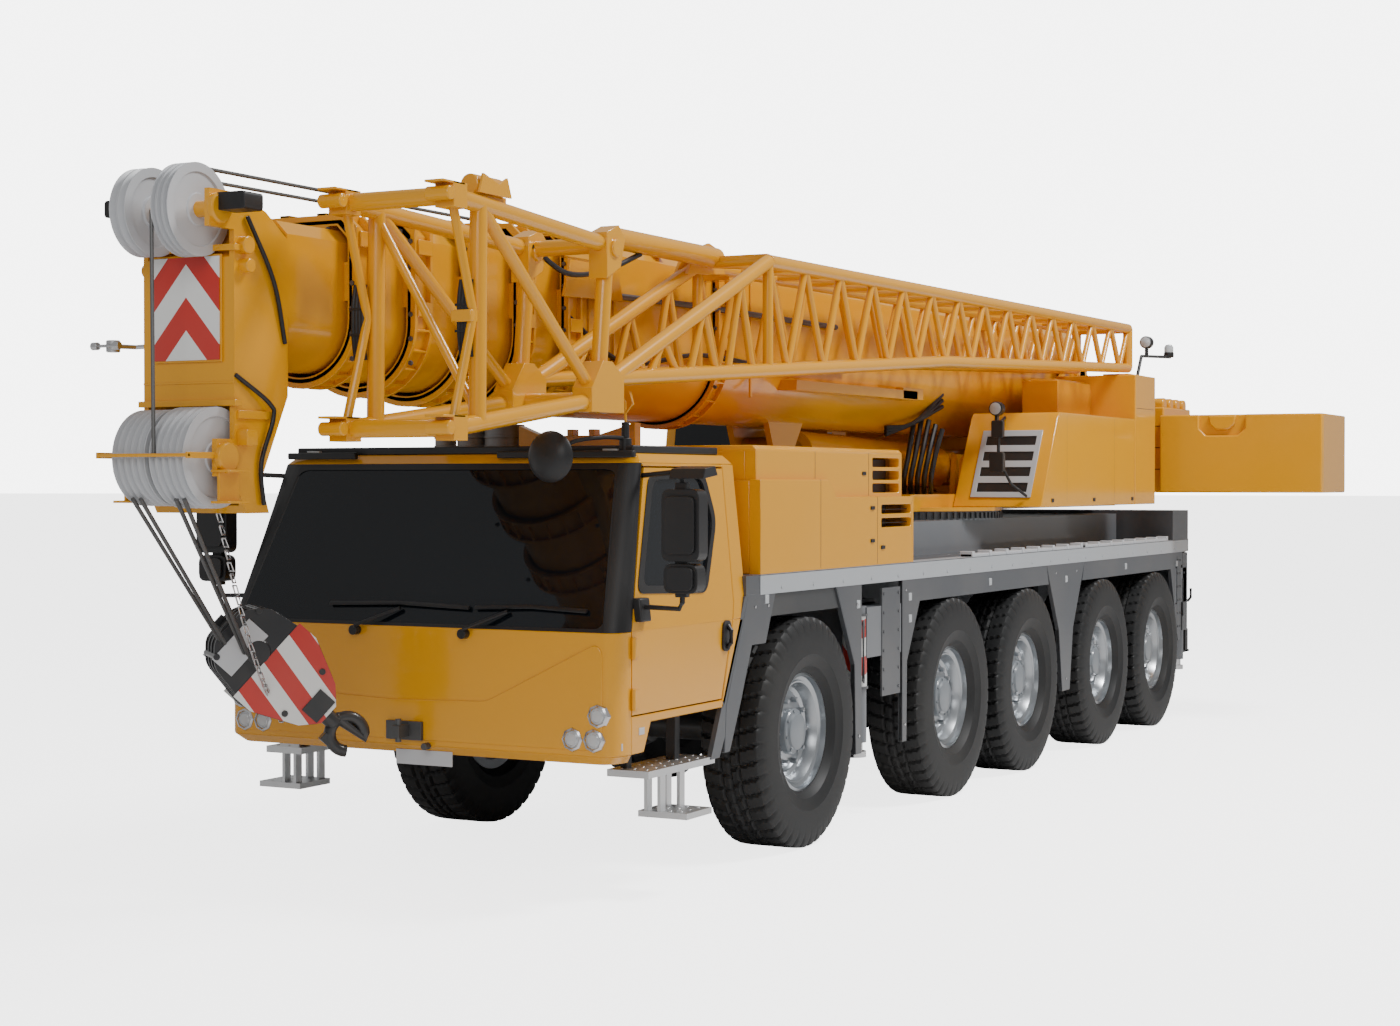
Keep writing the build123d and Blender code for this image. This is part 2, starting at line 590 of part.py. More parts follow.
def section_tube(width, height, y):
    """Hollow boom section from y[0] forward end to y[1] rear end."""
    outer = section_solid(width, height, y)
    inner = section_solid(width - 2 * BOOM_WALL, height - 2 * BOOM_WALL, (y[0] - 1, y[1] + 1))
    return outer - inner


def slide_pads(index):
    """Pads inside the front of section index, which carry the next section."""
    width, height = section_size(index)
    inner = width / 2 - BOOM_WALL
    roof = BOOM_MID_Z + height / 2 - BOOM_WALL
    thick = SECTION_STEP / 2 - BOOM_WALL - SEAT
    front = BASE_FRONT - index * COLLAR_PITCH
    pads = []
    for side in (1, -1):
        pads.append(block((side * (inner - thick), side * (inner + 1)), (front, front + 150),
                          (BOOM_MID_Z, BOOM_MID_Z + 200)))
        pads.append(block((side * 80, side * 180), (front, front + 150), (roof - thick, roof + 1)))
    return pads


def collar(width, height, y):
    """Stiffening ring round a section, with a hole left for the section itself."""
    outer = section_solid(width + 2 * COLLAR_T, height + 2 * COLLAR_T, (y, y + COLLAR_L))
    inner = section_solid(width - 2, height - 2, (y - 1, y + COLLAR_L + 1))
    lugs = block((-150, -90), (y + 20, y + 140), (BOOM_MID_Z + height / 2, BOOM_MID_Z + height / 2 + 60))
    ring = outer - inner + lugs
    return ring + mirror_x(lugs)


def section_size(index):
    """Width and height of boom section index, 0 for the base."""
    return BASE_W - index * SECTION_STEP, BASE_H - index * SECTION_STEP


def boom_base():
    """Base section with its collars, trunnions, cylinder lugs and jib brackets."""
    width, height = section_size(0)
    boom = section_tube(width, height, (BASE_FRONT, BASE_REAR)) + collar(width, height, BASE_FRONT)
    boom += slide_pads(0)
    boom += collar(width, height, 450.0)
    for side in (1, -1):
        boom += bar_x((side * (width / 2 - 5), side * (width / 2 + 38)), LUFF_Y, LUFF_Z, 160.0)
        boom += bar_x((side * (width / 2 - 5), side * (width / 2 + 100)), LUFF_Y, LUFF_Z, TRUNNION_R)
        lug = side_plate([(1850, 2760), (2450, 2760), (2200, 2440), (2000, 2440)], (side * 130, side * 175))
        boom += lug - section_solid(width - 2, height - 2, (1500, 3000))
    return boom


def tele_section(index):
    """Telescoping section index, with its front collar."""
    width, height = section_size(index)
    front = BASE_FRONT - index * COLLAR_PITCH
    tube = section_tube(width, height, (front, front + SECTION_L)) + collar(width, height, front)
    return tube + slide_pads(index)


def boom_head():
    """Innermost section, which carries the head with its two sheave pockets."""
    width, height = section_size(SECTION_COUNT)
    half = HEAD_W / 2
    tube = section_tube(width, height, (HEAD_REAR, HEAD_REAR + SECTION_L))
    outline = [(HEAD_FRONT, 3710), (HEAD_FRONT + 240, 3640), (HEAD_REAR, 3520), (HEAD_REAR, 2740),
               (-4080, 2320), (-4020, 2160), (-4190, 2160), (HEAD_FRONT, 2320)]
    head = side_plate(outline, (-half, half))
    cheeks = []
    for side in (1, -1):
        for y, z, r in (SHEAVE_TOP, SHEAVE_LOW):
            cheeks.append(block((side * (half - 30), side * half), (y - 60, HEAD_FRONT + 80), (z - 90, z + 90)))
    for y, z, r in (SHEAVE_TOP, SHEAVE_LOW):
        head -= bar_x((30 - half, half - 30), y, z, r + 25)
    for cheek in cheeks:
        head += cheek
    for y, z, r in (SHEAVE_TOP, SHEAVE_LOW):
        head += bar_x((-half - 20, half + 20), y, z, 40.0)
    return tube + head


def sheave_set(place, count):
    """Row of grooved sheaves on one axle."""
    y, z, r = place
    half = HEAD_W / 2 - 30 - 5.0
    pitch = 2 * half / count
    outline = [(40 + PIN_GAP, -half)]
    for index in range(count):
        low = -half + index * pitch
        outline += [(r, low), (r, low + 8), (r - 35, low + pitch / 2 - 6), (r - 35, low + pitch / 2 + 6),
                    (r, low + pitch - 8)]
    outline += [(r, half), (40 + PIN_GAP, half)]
    return spin_x(outline, (0, y, z))


def luff_barrel():
    """Luffing cylinder barrel, pinned at its tail."""
    tail = Vector(0, *CYL_TAIL)
    eye = Vector(0, *CYL_EYE)
    run = (eye - tail).normalized()
    mouth = tail + run * 3000.0
    barrel = bar(tuple(tail + run * 90), tuple(mouth), CYL_R)
    barrel -= bar(tuple(tail + run * 250), tuple(mouth + run), CYL_ROD_R + PIN_GAP)
    barrel += bar_x((-CYL_R + 20, CYL_R - 20), tail.Y, tail.Z, 130.0)
    return barrel - bar_x((-CYL_R, CYL_R), tail.Y, tail.Z, TAIL_PIN_R + PIN_GAP)


def luff_rod():
    """Luffing cylinder rod with its eye, which is left free of the boom."""
    tail = Vector(0, *CYL_TAIL)
    eye = Vector(0, *CYL_EYE)
    run = (eye - tail).normalized()
    rod = bar(tuple(tail + run * 260), tuple(eye - run * 80), CYL_ROD_R)
    rod += bar_x((-125, 125), eye.Y, eye.Z, 110.0)
    return rod - bar_x((-130, 130), eye.Y, eye.Z, 55.0)


# ---------------------------------------------------------------- jib and hook
def brace(start, end, size):
    """Square brace from one point to another."""
    run = Vector(*end) - Vector(*start)
    low = (Align.CENTER, Align.CENTER, Align.MIN)
    return Plane(origin=start, z_dir=run) * Box(size, size, run.length, align=low)


def on_line(start, end, share):
    """Point at a share of the way from start to end."""
    return tuple(a + (b - a) * share for a, b in zip(start, end))


def chord_z(points, y):
    """Height of a chord, given as (Y, Z) points, at one Y."""
    for (y0, z0), (y1, z1) in zip(points, points[1:]):
        if y0 <= y <= y1:
            return z0 + (z1 - z0) * (y - y0) / (y1 - y0)
    return points[-1][1]


JIB_UPPER = ((-170.0, 3700.0), (7600.0, 3760.0))
JIB_LOWER = ((-2140.0, 2885.0), (2880.0, 3220.0), (7600.0, 3390.0))
JIB_BAYS = 14


def jib():
    """Folding lattice jib stowed along the boom: foot frame, junction and long lattice."""
    inner, outer = JIB_X
    members = []
    for x in JIB_X:
        for points in (JIB_UPPER, JIB_LOWER):
            for (y0, z0), (y1, z1) in zip(points, points[1:]):
                members.append(((x, y0, z0), (x, y1, z1), CHORD_R))
        members.append(((x, *JIB_LOWER[0]), (x, *JIB_UPPER[0]), CHORD_R))
    pitch = (JIB_UPPER[1][0] - JIB_UPPER[0][0]) / JIB_BAYS
    for bay in range(JIB_BAYS):
        y0 = JIB_UPPER[0][0] + bay * pitch
        low_y = y0 + pitch / 2
        for x in JIB_X:
            low = (x, low_y, chord_z(JIB_LOWER, low_y))
            members.append(((x, y0, chord_z(JIB_UPPER, y0)), low, BRACE_R))
            members.append((low, (x, y0 + pitch, chord_z(JIB_UPPER, y0 + pitch)), BRACE_R))
        if bay % 2 == 0:
            members.append(((inner, y0, chord_z(JIB_UPPER, y0)), (outer, y0, chord_z(JIB_UPPER, y0)), BRACE_R))
            members.append(((inner, low_y, low[2]), (outer, low_y, low[2]), BRACE_R))
    members.append(((inner, *JIB_UPPER[1]), (inner, *JIB_LOWER[2]), CHORD_R))
    members.append(((outer, *JIB_UPPER[1]), (outer, *JIB_LOWER[2]), CHORD_R))
    near, far = JIB_FOOT_X
    top, low = 3700.0, 2575.0
    joint_top = (-2200.0, 3610.0)
    joint_low = (-2300.0, 2760.0)
    for foot_x, x in ((near, inner), (far, outer)):
        members.append(((foot_x, JIB_FOOT_Y, top), (x, *joint_top), CHORD_R))
        members.append(((foot_x, JIB_FOOT_Y, low), (x, *joint_low), CHORD_R))
        members.append(((foot_x, JIB_FOOT_Y, low - 60), (foot_x, JIB_FOOT_Y, top + 60), CHORD_R))
        members.append(((x, *joint_top), (x, *joint_low), CHORD_R))
        members.append(((x, *joint_low), (x, *JIB_LOWER[0]), CHORD_R))
        middle = on_line((foot_x, JIB_FOOT_Y, top), (x, *joint_top), 0.4)
        members.append((middle, (x, *joint_low), BRACE_R * 1.4))
        members.append((middle, on_line((foot_x, JIB_FOOT_Y, low), (x, *joint_low), 0.3), BRACE_R * 1.4))
    members.append(((near, JIB_FOOT_Y, top), (far, JIB_FOOT_Y, top), CHORD_R))
    members.append(((near, JIB_FOOT_Y, low), (far, JIB_FOOT_Y, low), CHORD_R))
    members.append(((near, JIB_FOOT_Y, top), (far, JIB_FOOT_Y, low), BRACE_R))
    members.append(((inner, *joint_top), (outer, *joint_top), CHORD_R))
    members.append(((inner, *joint_low), (outer, *joint_low), CHORD_R))
    bars = [(bar if radius == CHORD_R else brace)(start, end, radius) for start, end, radius in members]
    frame = bars[0].fuse(*bars[1:])
    for y in (300.0, 5600.0):
        frame += block((BASE_W / 2 + SEAT, inner + 20), (y - 60, y + 60), (3640, 3740))
    return frame


HOOK_TOP = (-500.0, -3180.0, 1400.0)
HOOK_LOW = (-130.0, -2760.0, 880.0)
HOOK_SHEAVE_R = 230.0
ROPE_R = 11.0


def hook_block():
    """Hook block held aslant in front of the cab, with its sheaves and hook."""
    along = (Vector(*HOOK_LOW) - Vector(*HOOK_TOP)).normalized()
    across = along.cross(Vector(0, 0, 1)).normalized()
    frame = Plane(origin=HOOK_TOP, x_dir=tuple(along), z_dir=tuple(across))
    plate = Polygon((-180, -160), (180, -260), (470, -90), (470, 90), (180, 260), (-180, 160), align=None)
    sides = []
    for z in (-170, 130):
        sides.append(extrude(frame.offset(z) * plate, 40, dir=tuple(across)))
    body = sides[0] + sides[1] + frame * Cylinder(HOOK_SHEAVE_R, 260)
    body += frame * (Pos(400, 0, 0) * Box(140, 180, 340))
    shank = frame * (Pos(520, 0, 0) * Rot(0, 90, 0) * Cylinder(45, 160))
    hook = frame * (Pos(660, 0, 0) * (Cylinder(120, 70) - Cylinder(62, 72) - Pos(70, -90, 0) * Box(90, 120, 74)))
    body += shank + hook
    for rope in hoist_ropes():
        body += rope
    return body


def hoist_ropes():
    """Rope falls from the head's lower sheaves to the hook block."""
    ropes = []
    y, z, sheave = SHEAVE_LOW
    run = Vector(0, HOOK_TOP[1] - y, HOOK_TOP[2] - z).normalized()
    off = Vector(0, run.Z, -run.Y)
    for x in (-160.0, 160.0):
        start = Vector(x, y, z) + off * (sheave + ROPE_R + SEAT)
        foot = Vector(HOOK_TOP[0] + x * 0.4, HOOK_TOP[1], HOOK_TOP[2]) + off * (HOOK_SHEAVE_R - ROPE_R)
        ropes.append(bar(tuple(start), tuple(foot), ROPE_R))
    return ropes


# ---------------------------------------------------------------- write the nodes
def main():
    """Build every node and write it."""
    save("chassis_frame", chassis_frame())
    save("axle_beams", *[axle_beam(y, n in STEERED) for n, y in enumerate(AXLE_Y, 1)])
    save("side_panels", side_panels())
    save("cab_shell", cab_shell())
    save("cab_glass", *cab_glass())
    save("cab_interior", *cab_interior())
    save("access_steps", *access_steps())
    save("engine_cover", engine_cover())
    save("engine_block", engine_block())
    for name, side in SIDES:
        save(f"cab_door_{name}", cab_door(side))
        save(f"door_glass_{name}", door_glass(side))
        save(f"mirror_{name}", mirror_set(side))
        for number, y in enumerate(AXLE_Y, 1):
            save(f"wheel_{number}_{name}", *[on_side(shape, side) for shape in wheel(y)])
            if number in STEERED:
                save(f"knuckle_{number}_{name}", on_side(knuckle(y), side))
        for place, y, jack_y in (("front", OUT_FRONT_Y, JACK_FRONT_Y), ("rear", OUT_REAR_Y, JACK_REAR_Y)):
            save(f"outrigger_beam_{place}_{name}", outrigger_beam(y, 0 if side > 0 else 1, jack_y, side))
            save(f"outrigger_jack_{place}_{name}", outrigger_jack(jack_y, side))
    save("turntable", turntable())
    save("machinery_housing", *machinery_housing())
    save("counterweight", counterweight())
    save("crane_cab", crane_cab())
    save("winch_drum", winch_drum())
    save("boom_base", boom_base())
    for index in range(1, SECTION_COUNT):
        save(f"boom_section_{index}", tele_section(index))
    save(f"boom_section_{SECTION_COUNT}", boom_head())
    save("head_sheaves", sheave_set(SHEAVE_TOP, 3), sheave_set(SHEAVE_LOW, 5))
    save("luff_barrel", luff_barrel())
    save("luff_rod", luff_rod())
    save("lattice_jib", jib())
    save("hook_block", hook_block())


main()
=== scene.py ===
"""Looks of a five-axle mobile crane: forms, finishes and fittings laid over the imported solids.

Sizes are metres. X points to the vehicle's left, Y to the rear and Z up. Places along Y are counted from the
first axle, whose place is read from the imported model, and each fitting rides on the body that carries it.
"""

import json
import logging
import math
from dataclasses import dataclass
from enum import Enum

import bmesh
import bpy
import numpy as np
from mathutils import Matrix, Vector
from mathutils.geometry import tessellate_polygon

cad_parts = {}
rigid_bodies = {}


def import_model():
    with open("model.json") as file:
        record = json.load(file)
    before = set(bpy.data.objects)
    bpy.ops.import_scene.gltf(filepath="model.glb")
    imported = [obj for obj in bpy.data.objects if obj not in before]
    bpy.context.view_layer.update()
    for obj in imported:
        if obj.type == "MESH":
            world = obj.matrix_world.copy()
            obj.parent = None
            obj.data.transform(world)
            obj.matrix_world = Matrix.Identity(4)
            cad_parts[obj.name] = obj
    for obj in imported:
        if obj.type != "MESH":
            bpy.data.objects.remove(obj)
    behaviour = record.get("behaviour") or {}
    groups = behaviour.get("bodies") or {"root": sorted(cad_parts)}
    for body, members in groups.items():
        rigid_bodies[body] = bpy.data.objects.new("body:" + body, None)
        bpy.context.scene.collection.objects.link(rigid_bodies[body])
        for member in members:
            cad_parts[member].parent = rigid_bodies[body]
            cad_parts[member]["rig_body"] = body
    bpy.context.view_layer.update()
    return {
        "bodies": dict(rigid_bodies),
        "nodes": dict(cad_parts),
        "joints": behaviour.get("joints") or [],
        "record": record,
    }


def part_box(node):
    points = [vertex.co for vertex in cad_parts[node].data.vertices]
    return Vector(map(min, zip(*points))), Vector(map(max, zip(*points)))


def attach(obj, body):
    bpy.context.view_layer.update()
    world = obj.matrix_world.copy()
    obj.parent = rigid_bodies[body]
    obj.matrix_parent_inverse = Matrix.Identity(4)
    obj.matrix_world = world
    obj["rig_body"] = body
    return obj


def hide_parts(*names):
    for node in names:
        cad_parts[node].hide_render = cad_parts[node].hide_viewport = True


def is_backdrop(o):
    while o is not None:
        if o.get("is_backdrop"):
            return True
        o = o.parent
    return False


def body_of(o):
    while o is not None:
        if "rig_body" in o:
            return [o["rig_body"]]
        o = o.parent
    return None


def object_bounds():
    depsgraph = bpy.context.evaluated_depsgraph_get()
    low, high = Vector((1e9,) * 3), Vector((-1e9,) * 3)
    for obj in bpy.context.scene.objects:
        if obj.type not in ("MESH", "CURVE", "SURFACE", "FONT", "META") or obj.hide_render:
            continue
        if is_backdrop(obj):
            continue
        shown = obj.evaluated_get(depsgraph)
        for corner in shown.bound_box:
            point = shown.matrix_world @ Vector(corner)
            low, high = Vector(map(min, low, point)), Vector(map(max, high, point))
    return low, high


LOG = logging.getLogger("crane")
LENS = 56.69
CAMERA_PLACE = (7.196, -15.0795, 2.307)
CAMERA_YAW = 27.58
CAMERA_DIP = 0.774
HALF = 1.33                     # half width of the bodywork
CORE = 0.0001                   # radius at which a spun outline closes on its axis
SHARP = math.radians(32)        # faces that meet at more than this keep a crisp edge
HEAD = "boom_section_5"         # node that carries the boom's head
Part = tuple[np.ndarray, list]  # points (n by 3) and faces (lists of vertex numbers)


# ---------------------------------------------------------------- shapes
def grid_faces(rows: int, columns: int, close_rows: bool = False, close_columns: bool = False) -> np.ndarray:
    """Quads of a grid of points numbered row by row.

    Args:
        rows: number of rows.
        columns: number of points in a row.
        close_rows: join the last row to the first.
        close_columns: join each row's last point to its first.

    Returns:
        Quads as an array of vertex numbers, n by 4.
    """
    row = np.arange(rows if close_rows else rows - 1)[:, None]
    column = np.arange(columns if close_columns else columns - 1)[None, :]
    next_row = (row + 1) % rows
    next_column = (column + 1) % columns
    quads = [row * columns + column, row * columns + next_column,
             next_row * columns + next_column, next_row * columns + column]
    return np.stack([np.broadcast_to(q, np.broadcast(row, column).shape) for q in quads], -1).reshape(-1, 4)


def spun(outline: object, centre: object, axis: int = 0, steps: int = 32) -> Part:
    """Surface spun about an axis.

    Each outline point (radius r, offset o) goes, for every angle a, to the centre plus o along the axis and
    r cos a, r sin a along the two other axes.

    Args:
        outline: closed outline as (radius, offset) rows.
        centre: point on the axis.
        axis: 0, 1 or 2 for X, Y or Z.
        steps: number of angles.

    Returns:
        Points and faces.
    """
    outline = np.asarray(outline, float)
    angle = np.linspace(0, 2 * np.pi, steps, endpoint=False)[:, None]
    columns = [None, None, None]
    columns[axis] = np.broadcast_to(outline[:, 1], (steps, len(outline)))
    columns[(axis + 1) % 3] = outline[:, 0] * np.cos(angle)
    columns[(axis + 2) % 3] = outline[:, 0] * np.sin(angle)
    return np.stack(columns, -1).reshape(-1, 3) + np.asarray(centre, float), grid_faces(
        steps, len(outline), True, True)


def disc(centre: object, axis: int, radius: float, low: float, high: float, steps: int = 28) -> Part:
    """Short round bar along an axis with softened edges.

    Args:
        centre: point on the axis.
        axis: 0, 1 or 2.
        radius: its radius.
        low: offset of one end from the centre.
        high: offset of the other end.
        steps: sides.

    Returns:
        Points and faces.
    """
    soft = min(0.12 * radius, 0.2 * (high - low), 0.008)
    outline = [(CORE, low), (radius - soft, low), (radius, low + soft), (radius, high - soft),
               (radius - soft, high), (CORE, high)]
    return spun(outline, centre, axis, steps)


def prism(outline: object, axis: int, low: float, high: float, holes: tuple = ()) -> Part:
    """Closed prism of an outline, with holes, along one axis.

    Args:
        outline: corners in the plane of the two other axes, in the order X, Y, Z.
        axis: 0, 1 or 2.
        low: place of one end along the axis.
        high: place of the other end.
        holes: outlines cut right through.

    Returns:
        Points and faces.
    """
    loops = [np.asarray(loop, float) for loop in (outline, *holes)]
    flat = np.concatenate(loops)
    count = len(flat)
    if holes:
        ends = [list(face)
                for face in tessellate_polygon([[Vector((u, v, 0)) for u, v in loop] for loop in loops])]
    else:
        ends = [list(range(count))]
    faces = ends + [[v + count for v in reversed(face)] for face in ends]
    start = 0
    for loop in loops:
        index = np.arange(len(loop))
        after = (index + 1) % len(loop)
        faces += (np.stack([index, after, after + count, index + count], 1) + start).tolist()
        start += len(loop)
    return np.concatenate([np.insert(flat, axis, level, axis=1) for level in (low, high)]), faces


def rectangle(across: tuple, up: tuple) -> list:
    """Corners of a rectangle, anticlockwise from the low one."""
    return [(across[0], up[0]), (across[1], up[0]), (across[1], up[1]), (across[0], up[1])]


def scaled(outline: list, share: float) -> list:
    """Outline made larger or smaller about its middle."""
    middle = np.mean(outline, axis=0)
    return [tuple(middle + (np.array(corner) - middle) * share) for corner in outline]


def hoop(radii: tuple, half: float, centre: object, axis: int, steps: int = 32) -> Part:
    """Ring with a rectangular section."""
    outer, inner = radii
    return spun([(outer, -half), (outer, half), (inner, half), (inner, -half)], centre, axis, steps)


def slab(x: tuple, y: tuple, z: tuple) -> Part:
    """Rectangular stretch of plate, between two values on each axis."""
    return prism(rectangle(x, y), 2, *z)


def rounded(outline: list, radius: float, steps: int = 4) -> list:
    """Outline with its corners rounded by quadratic curves.

    Args:
        outline: corners.
        radius: how far from a corner its curve starts.
        steps: stretches in each curve.

    Returns:
        The new outline.
    """
    corners = np.asarray(outline, float)
    made = []
    for before, here, after in zip(np.roll(corners, 1, 0), corners, np.roll(corners, -1, 0)):
        start, end = (here + (other - here) * min(0.45, radius / np.linalg.norm(other - here))
                      for other in (before, after))
        for t in np.linspace(0, 1, steps + 1):
            made.append(tuple((1 - t) ** 2 * start + 2 * t * (1 - t) * here + t * t * end))
    return made


def rod(start: object, end: object, radius: float, sides: int = 12) -> Part:
    """Straight round bar between two points."""
    return tube([start, end], radius, sides)


def tube(route: list, radius: float, sides: int = 10) -> Part:
    """Round bar along a route of points, mitred at each of them.

    At every point the ring lies square to the mean of the two runs' directions.

    Args:
        route: points of the middle line.
        radius: its radius.
        sides: number of sides.

    Returns:
        Points and faces.
    """
    line = np.asarray(route, float)
    run = np.diff(line, axis=0)
    run /= np.linalg.norm(run, axis=1)[:, None]
    facing = np.concatenate([run[:1], run[:-1] + run[1:], run[-1:]])
    facing /= np.linalg.norm(facing, axis=1)[:, None]
    up = np.array((0.31, 0.17, 0.93)) if abs(run[0][2]) < 0.8 else np.array((0.93, 0.31, 0.17))
    across = np.cross(facing, up)
    across /= np.linalg.norm(across, axis=1)[:, None]
    other = np.cross(facing, across)
    angle = np.linspace(0, 2 * np.pi, sides, endpoint=False)
    rings = (line[:, None] + radius * (np.cos(angle)[None, :, None] * across[:, None]
                                       + np.sin(angle)[None, :, None] * other[:, None]))
    faces = grid_faces(len(line), sides, False, True).tolist()
    last = (len(line) - 1) * sides
    faces += [list(range(sides)), list(range(last + sides - 1, last - 1, -1))]
    return rings.reshape(-1, 3), faces


def hose(route: list, radius: float, steps: int = 8) -> Part:
    """Bendy tube through a few points, by a Catmull-Rom curve.

    Args:
        route: points it passes.
        radius: its radius.
        steps: stretches between two points.

    Returns:
        Points and faces.
    """
    p = np.asarray(route, float)
    p = np.concatenate([[2 * p[0] - p[1]], p, [2 * p[-1] - p[-2]]])
    t = np.linspace(0, 1, steps, endpoint=False)[:, None]
    line = [0.5 * (2 * b + (c - a) * t + (2 * a - 5 * b + 4 * c - d) * t ** 2
                   + (3 * b - a - 3 * c + d) * t ** 3) for a, b, c, d in zip(p, p[1:], p[2:], p[3:])]
    return tube(np.concatenate(line + [p[-2:-1]]), radius, 8)


def strip(low_line: object, high_line: object, wall: float, middle: tuple = (0.0, -1.6)) -> Part:
    """Wall between a lower and an upper open line, thickened towards a middle.

    The inner lines are the outer ones drawn in towards the middle by the wall's thickness.

    Args:
        low_line: points of the lower edge.
        high_line: points of the upper edge.
        wall: thickness.
        middle: point (X, Y) it is thickened towards.

    Returns:
        Points and faces.
    """
    outer = np.stack([np.asarray(low_line, float), np.asarray(high_line, float)])
    inward = np.array((*middle, 0.0)) - outer
    inward[..., 2] = 0
    inward /= np.linalg.norm(inward, axis=-1)[..., None]
    inner = outer + inward * wall
    count = outer.shape[1]
    rings = np.stack([outer[0], outer[1], inner[1], inner[0]])
    faces = grid_faces(4, count, True, False).tolist()
    faces += [[0, count, 2 * count, 3 * count], [4 * count - 1, 3 * count - 1, 2 * count - 1, count - 1]]
    return rings.reshape(-1, 3), faces


def moved(part: Part, change: object) -> Part:
    """Part with its points changed by a function of the point array."""
    return change(np.array(part[0], float)), part[1]


def mirrored(parts: list) -> list:
    """The parts and their mirror images across the vehicle's middle plane."""
    return parts + on_side(parts, -1)


def on_side(parts: list, side: int) -> list:
    """Parts drawn for the left, put on one side."""
    return [(np.asarray(points) * (side, 1, 1), faces) for points, faces in parts]


# ---------------------------------------------------------------- pieces
class Workshop:
    """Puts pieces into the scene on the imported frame."""

    def __init__(self, frame: dict) -> None:
        """Read the first axle's place.

        Args:
            frame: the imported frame.
        """
        self.frame = frame
        low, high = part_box("wheel_1_left")
        self.shift = np.array((0.0, (low[1] + high[1]) / 2, 0.0))

    def piece(self, name: str, parts: list, finish: "Finish", node: str, bevel: float = 0.003,
              replaces: tuple = ()) -> bpy.types.Object:
        """Make one piece from several parts.

        Args:
            name: piece name.
            parts: points and faces of each part, in metres from the first axle.
            finish: the finish it gets.
            node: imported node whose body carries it.
            bevel: width of the softened edges, 0 for none.
            replaces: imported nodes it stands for.

        Returns:
            The new object.
        """
        points, faces, start = [], [], 0
        for more, more_faces in parts:
            more = np.asarray(more, float).reshape(-1, 3)
            points.append(more)
            faces += [[int(v) + start for v in face] for face in more_faces]
            start += len(more)
        mesh = bpy.data.meshes.new(name)
        mesh.from_pydata((np.concatenate(points) + self.shift).tolist(), [], faces)
        work = bmesh.new()
        work.from_mesh(mesh)
        bmesh.ops.recalc_face_normals(work, faces=work.faces)
        work.to_mesh(mesh)
        work.free()
        mesh.polygons.foreach_set("use_smooth", np.ones(len(mesh.polygons), bool))
        mesh.set_sharp_from_angle(angle=SHARP)
        made = bpy.data.objects.new(name, mesh)
        bpy.context.scene.collection.objects.link(made)
        made.data.materials.append(finish.material())
        if bevel:
            edge = made.modifiers.new("soft_edges", "BEVEL")
            edge.width = bevel
            edge.segments = 2
            edge.limit_method = "ANGLE"
            edge.angle_limit = SHARP
            edge.harden_normals = False
        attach(made, body_of(self.frame["nodes"][node])[0])
        if replaces:
            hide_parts(*replaces)
        return made


# ---------------------------------------------------------------- node groups
class Nodes:
    """Small helper that adds linked nodes to one node tree."""

    def __init__(self, tree: bpy.types.NodeTree) -> None:
        """Keep the tree."""
        self.tree = tree

    def add(self, kind: str, links: dict | None = None, **settings: object) -> bpy.types.Node:
        """Add one node.

        Args:
            kind: Blender's node type name.
            links: socket name or number to an output socket or a plain value.
            settings: properties of the node.

        Returns:
            The node.
        """
        node = self.tree.nodes.new(kind)
        for key, value in settings.items():
            setattr(node, key, value)
        for key, value in (links or {}).items():
            if isinstance(value, bpy.types.NodeSocket):
                self.tree.links.new(value, node.inputs[key])
            else:
                node.inputs[key].default_value = value
        return node


def new_group(name: str, takes: dict, gives: tuple) -> tuple:
    """Empty node group with its sockets.

    Args:
        name: the group's name.
        takes: input names and their kinds.
        gives: names of the float outputs.

    Returns:
        The group, its input node and its output node.
    """
    group = bpy.data.node_groups.new(name, "ShaderNodeTree")
    for socket, kind in takes.items():
        group.interface.new_socket(socket, in_out="INPUT", socket_type=kind)
    for socket in gives:
        group.interface.new_socket(socket, in_out="OUTPUT", socket_type="NodeSocketFloat")
    return group, group.nodes.new("NodeGroupInput"), group.nodes.new("NodeGroupOutput")


def soiling_group() -> bpy.types.NodeTree:
    """Node group that gives a dust mask, a fine grain height and a tone shift over a surface.

    Returns:
        The group, built once.
    """
    found = bpy.data.node_groups.get("soiling")
    if found:
        return found
    takes = {"Place": "NodeSocketVector", "Grain": "NodeSocketFloat", "Patches": "NodeSocketFloat"}
    group, inside, outside = new_group("soiling", takes, ("Dust", "Height", "Tone"))
    nodes = Nodes(group)
    place = inside.outputs["Place"]
    fine = nodes.add("ShaderNodeTexNoise", {"Vector": place, "Scale": inside.outputs["Grain"],
                                            "Detail": 2.0})
    broad = nodes.add("ShaderNodeTexNoise", {"Vector": place, "Scale": inside.outputs["Patches"],
                                             "Detail": 3.0})
    dust = nodes.add("ShaderNodeMapRange", {"Value": broad.outputs["Fac"], "From Min": 0.45,
                                            "From Max": 0.75})
    group.links.new(dust.outputs["Result"], outside.inputs["Dust"])
    group.links.new(fine.outputs["Fac"], outside.inputs["Height"])
    group.links.new(broad.outputs["Fac"], outside.inputs["Tone"])
    return group


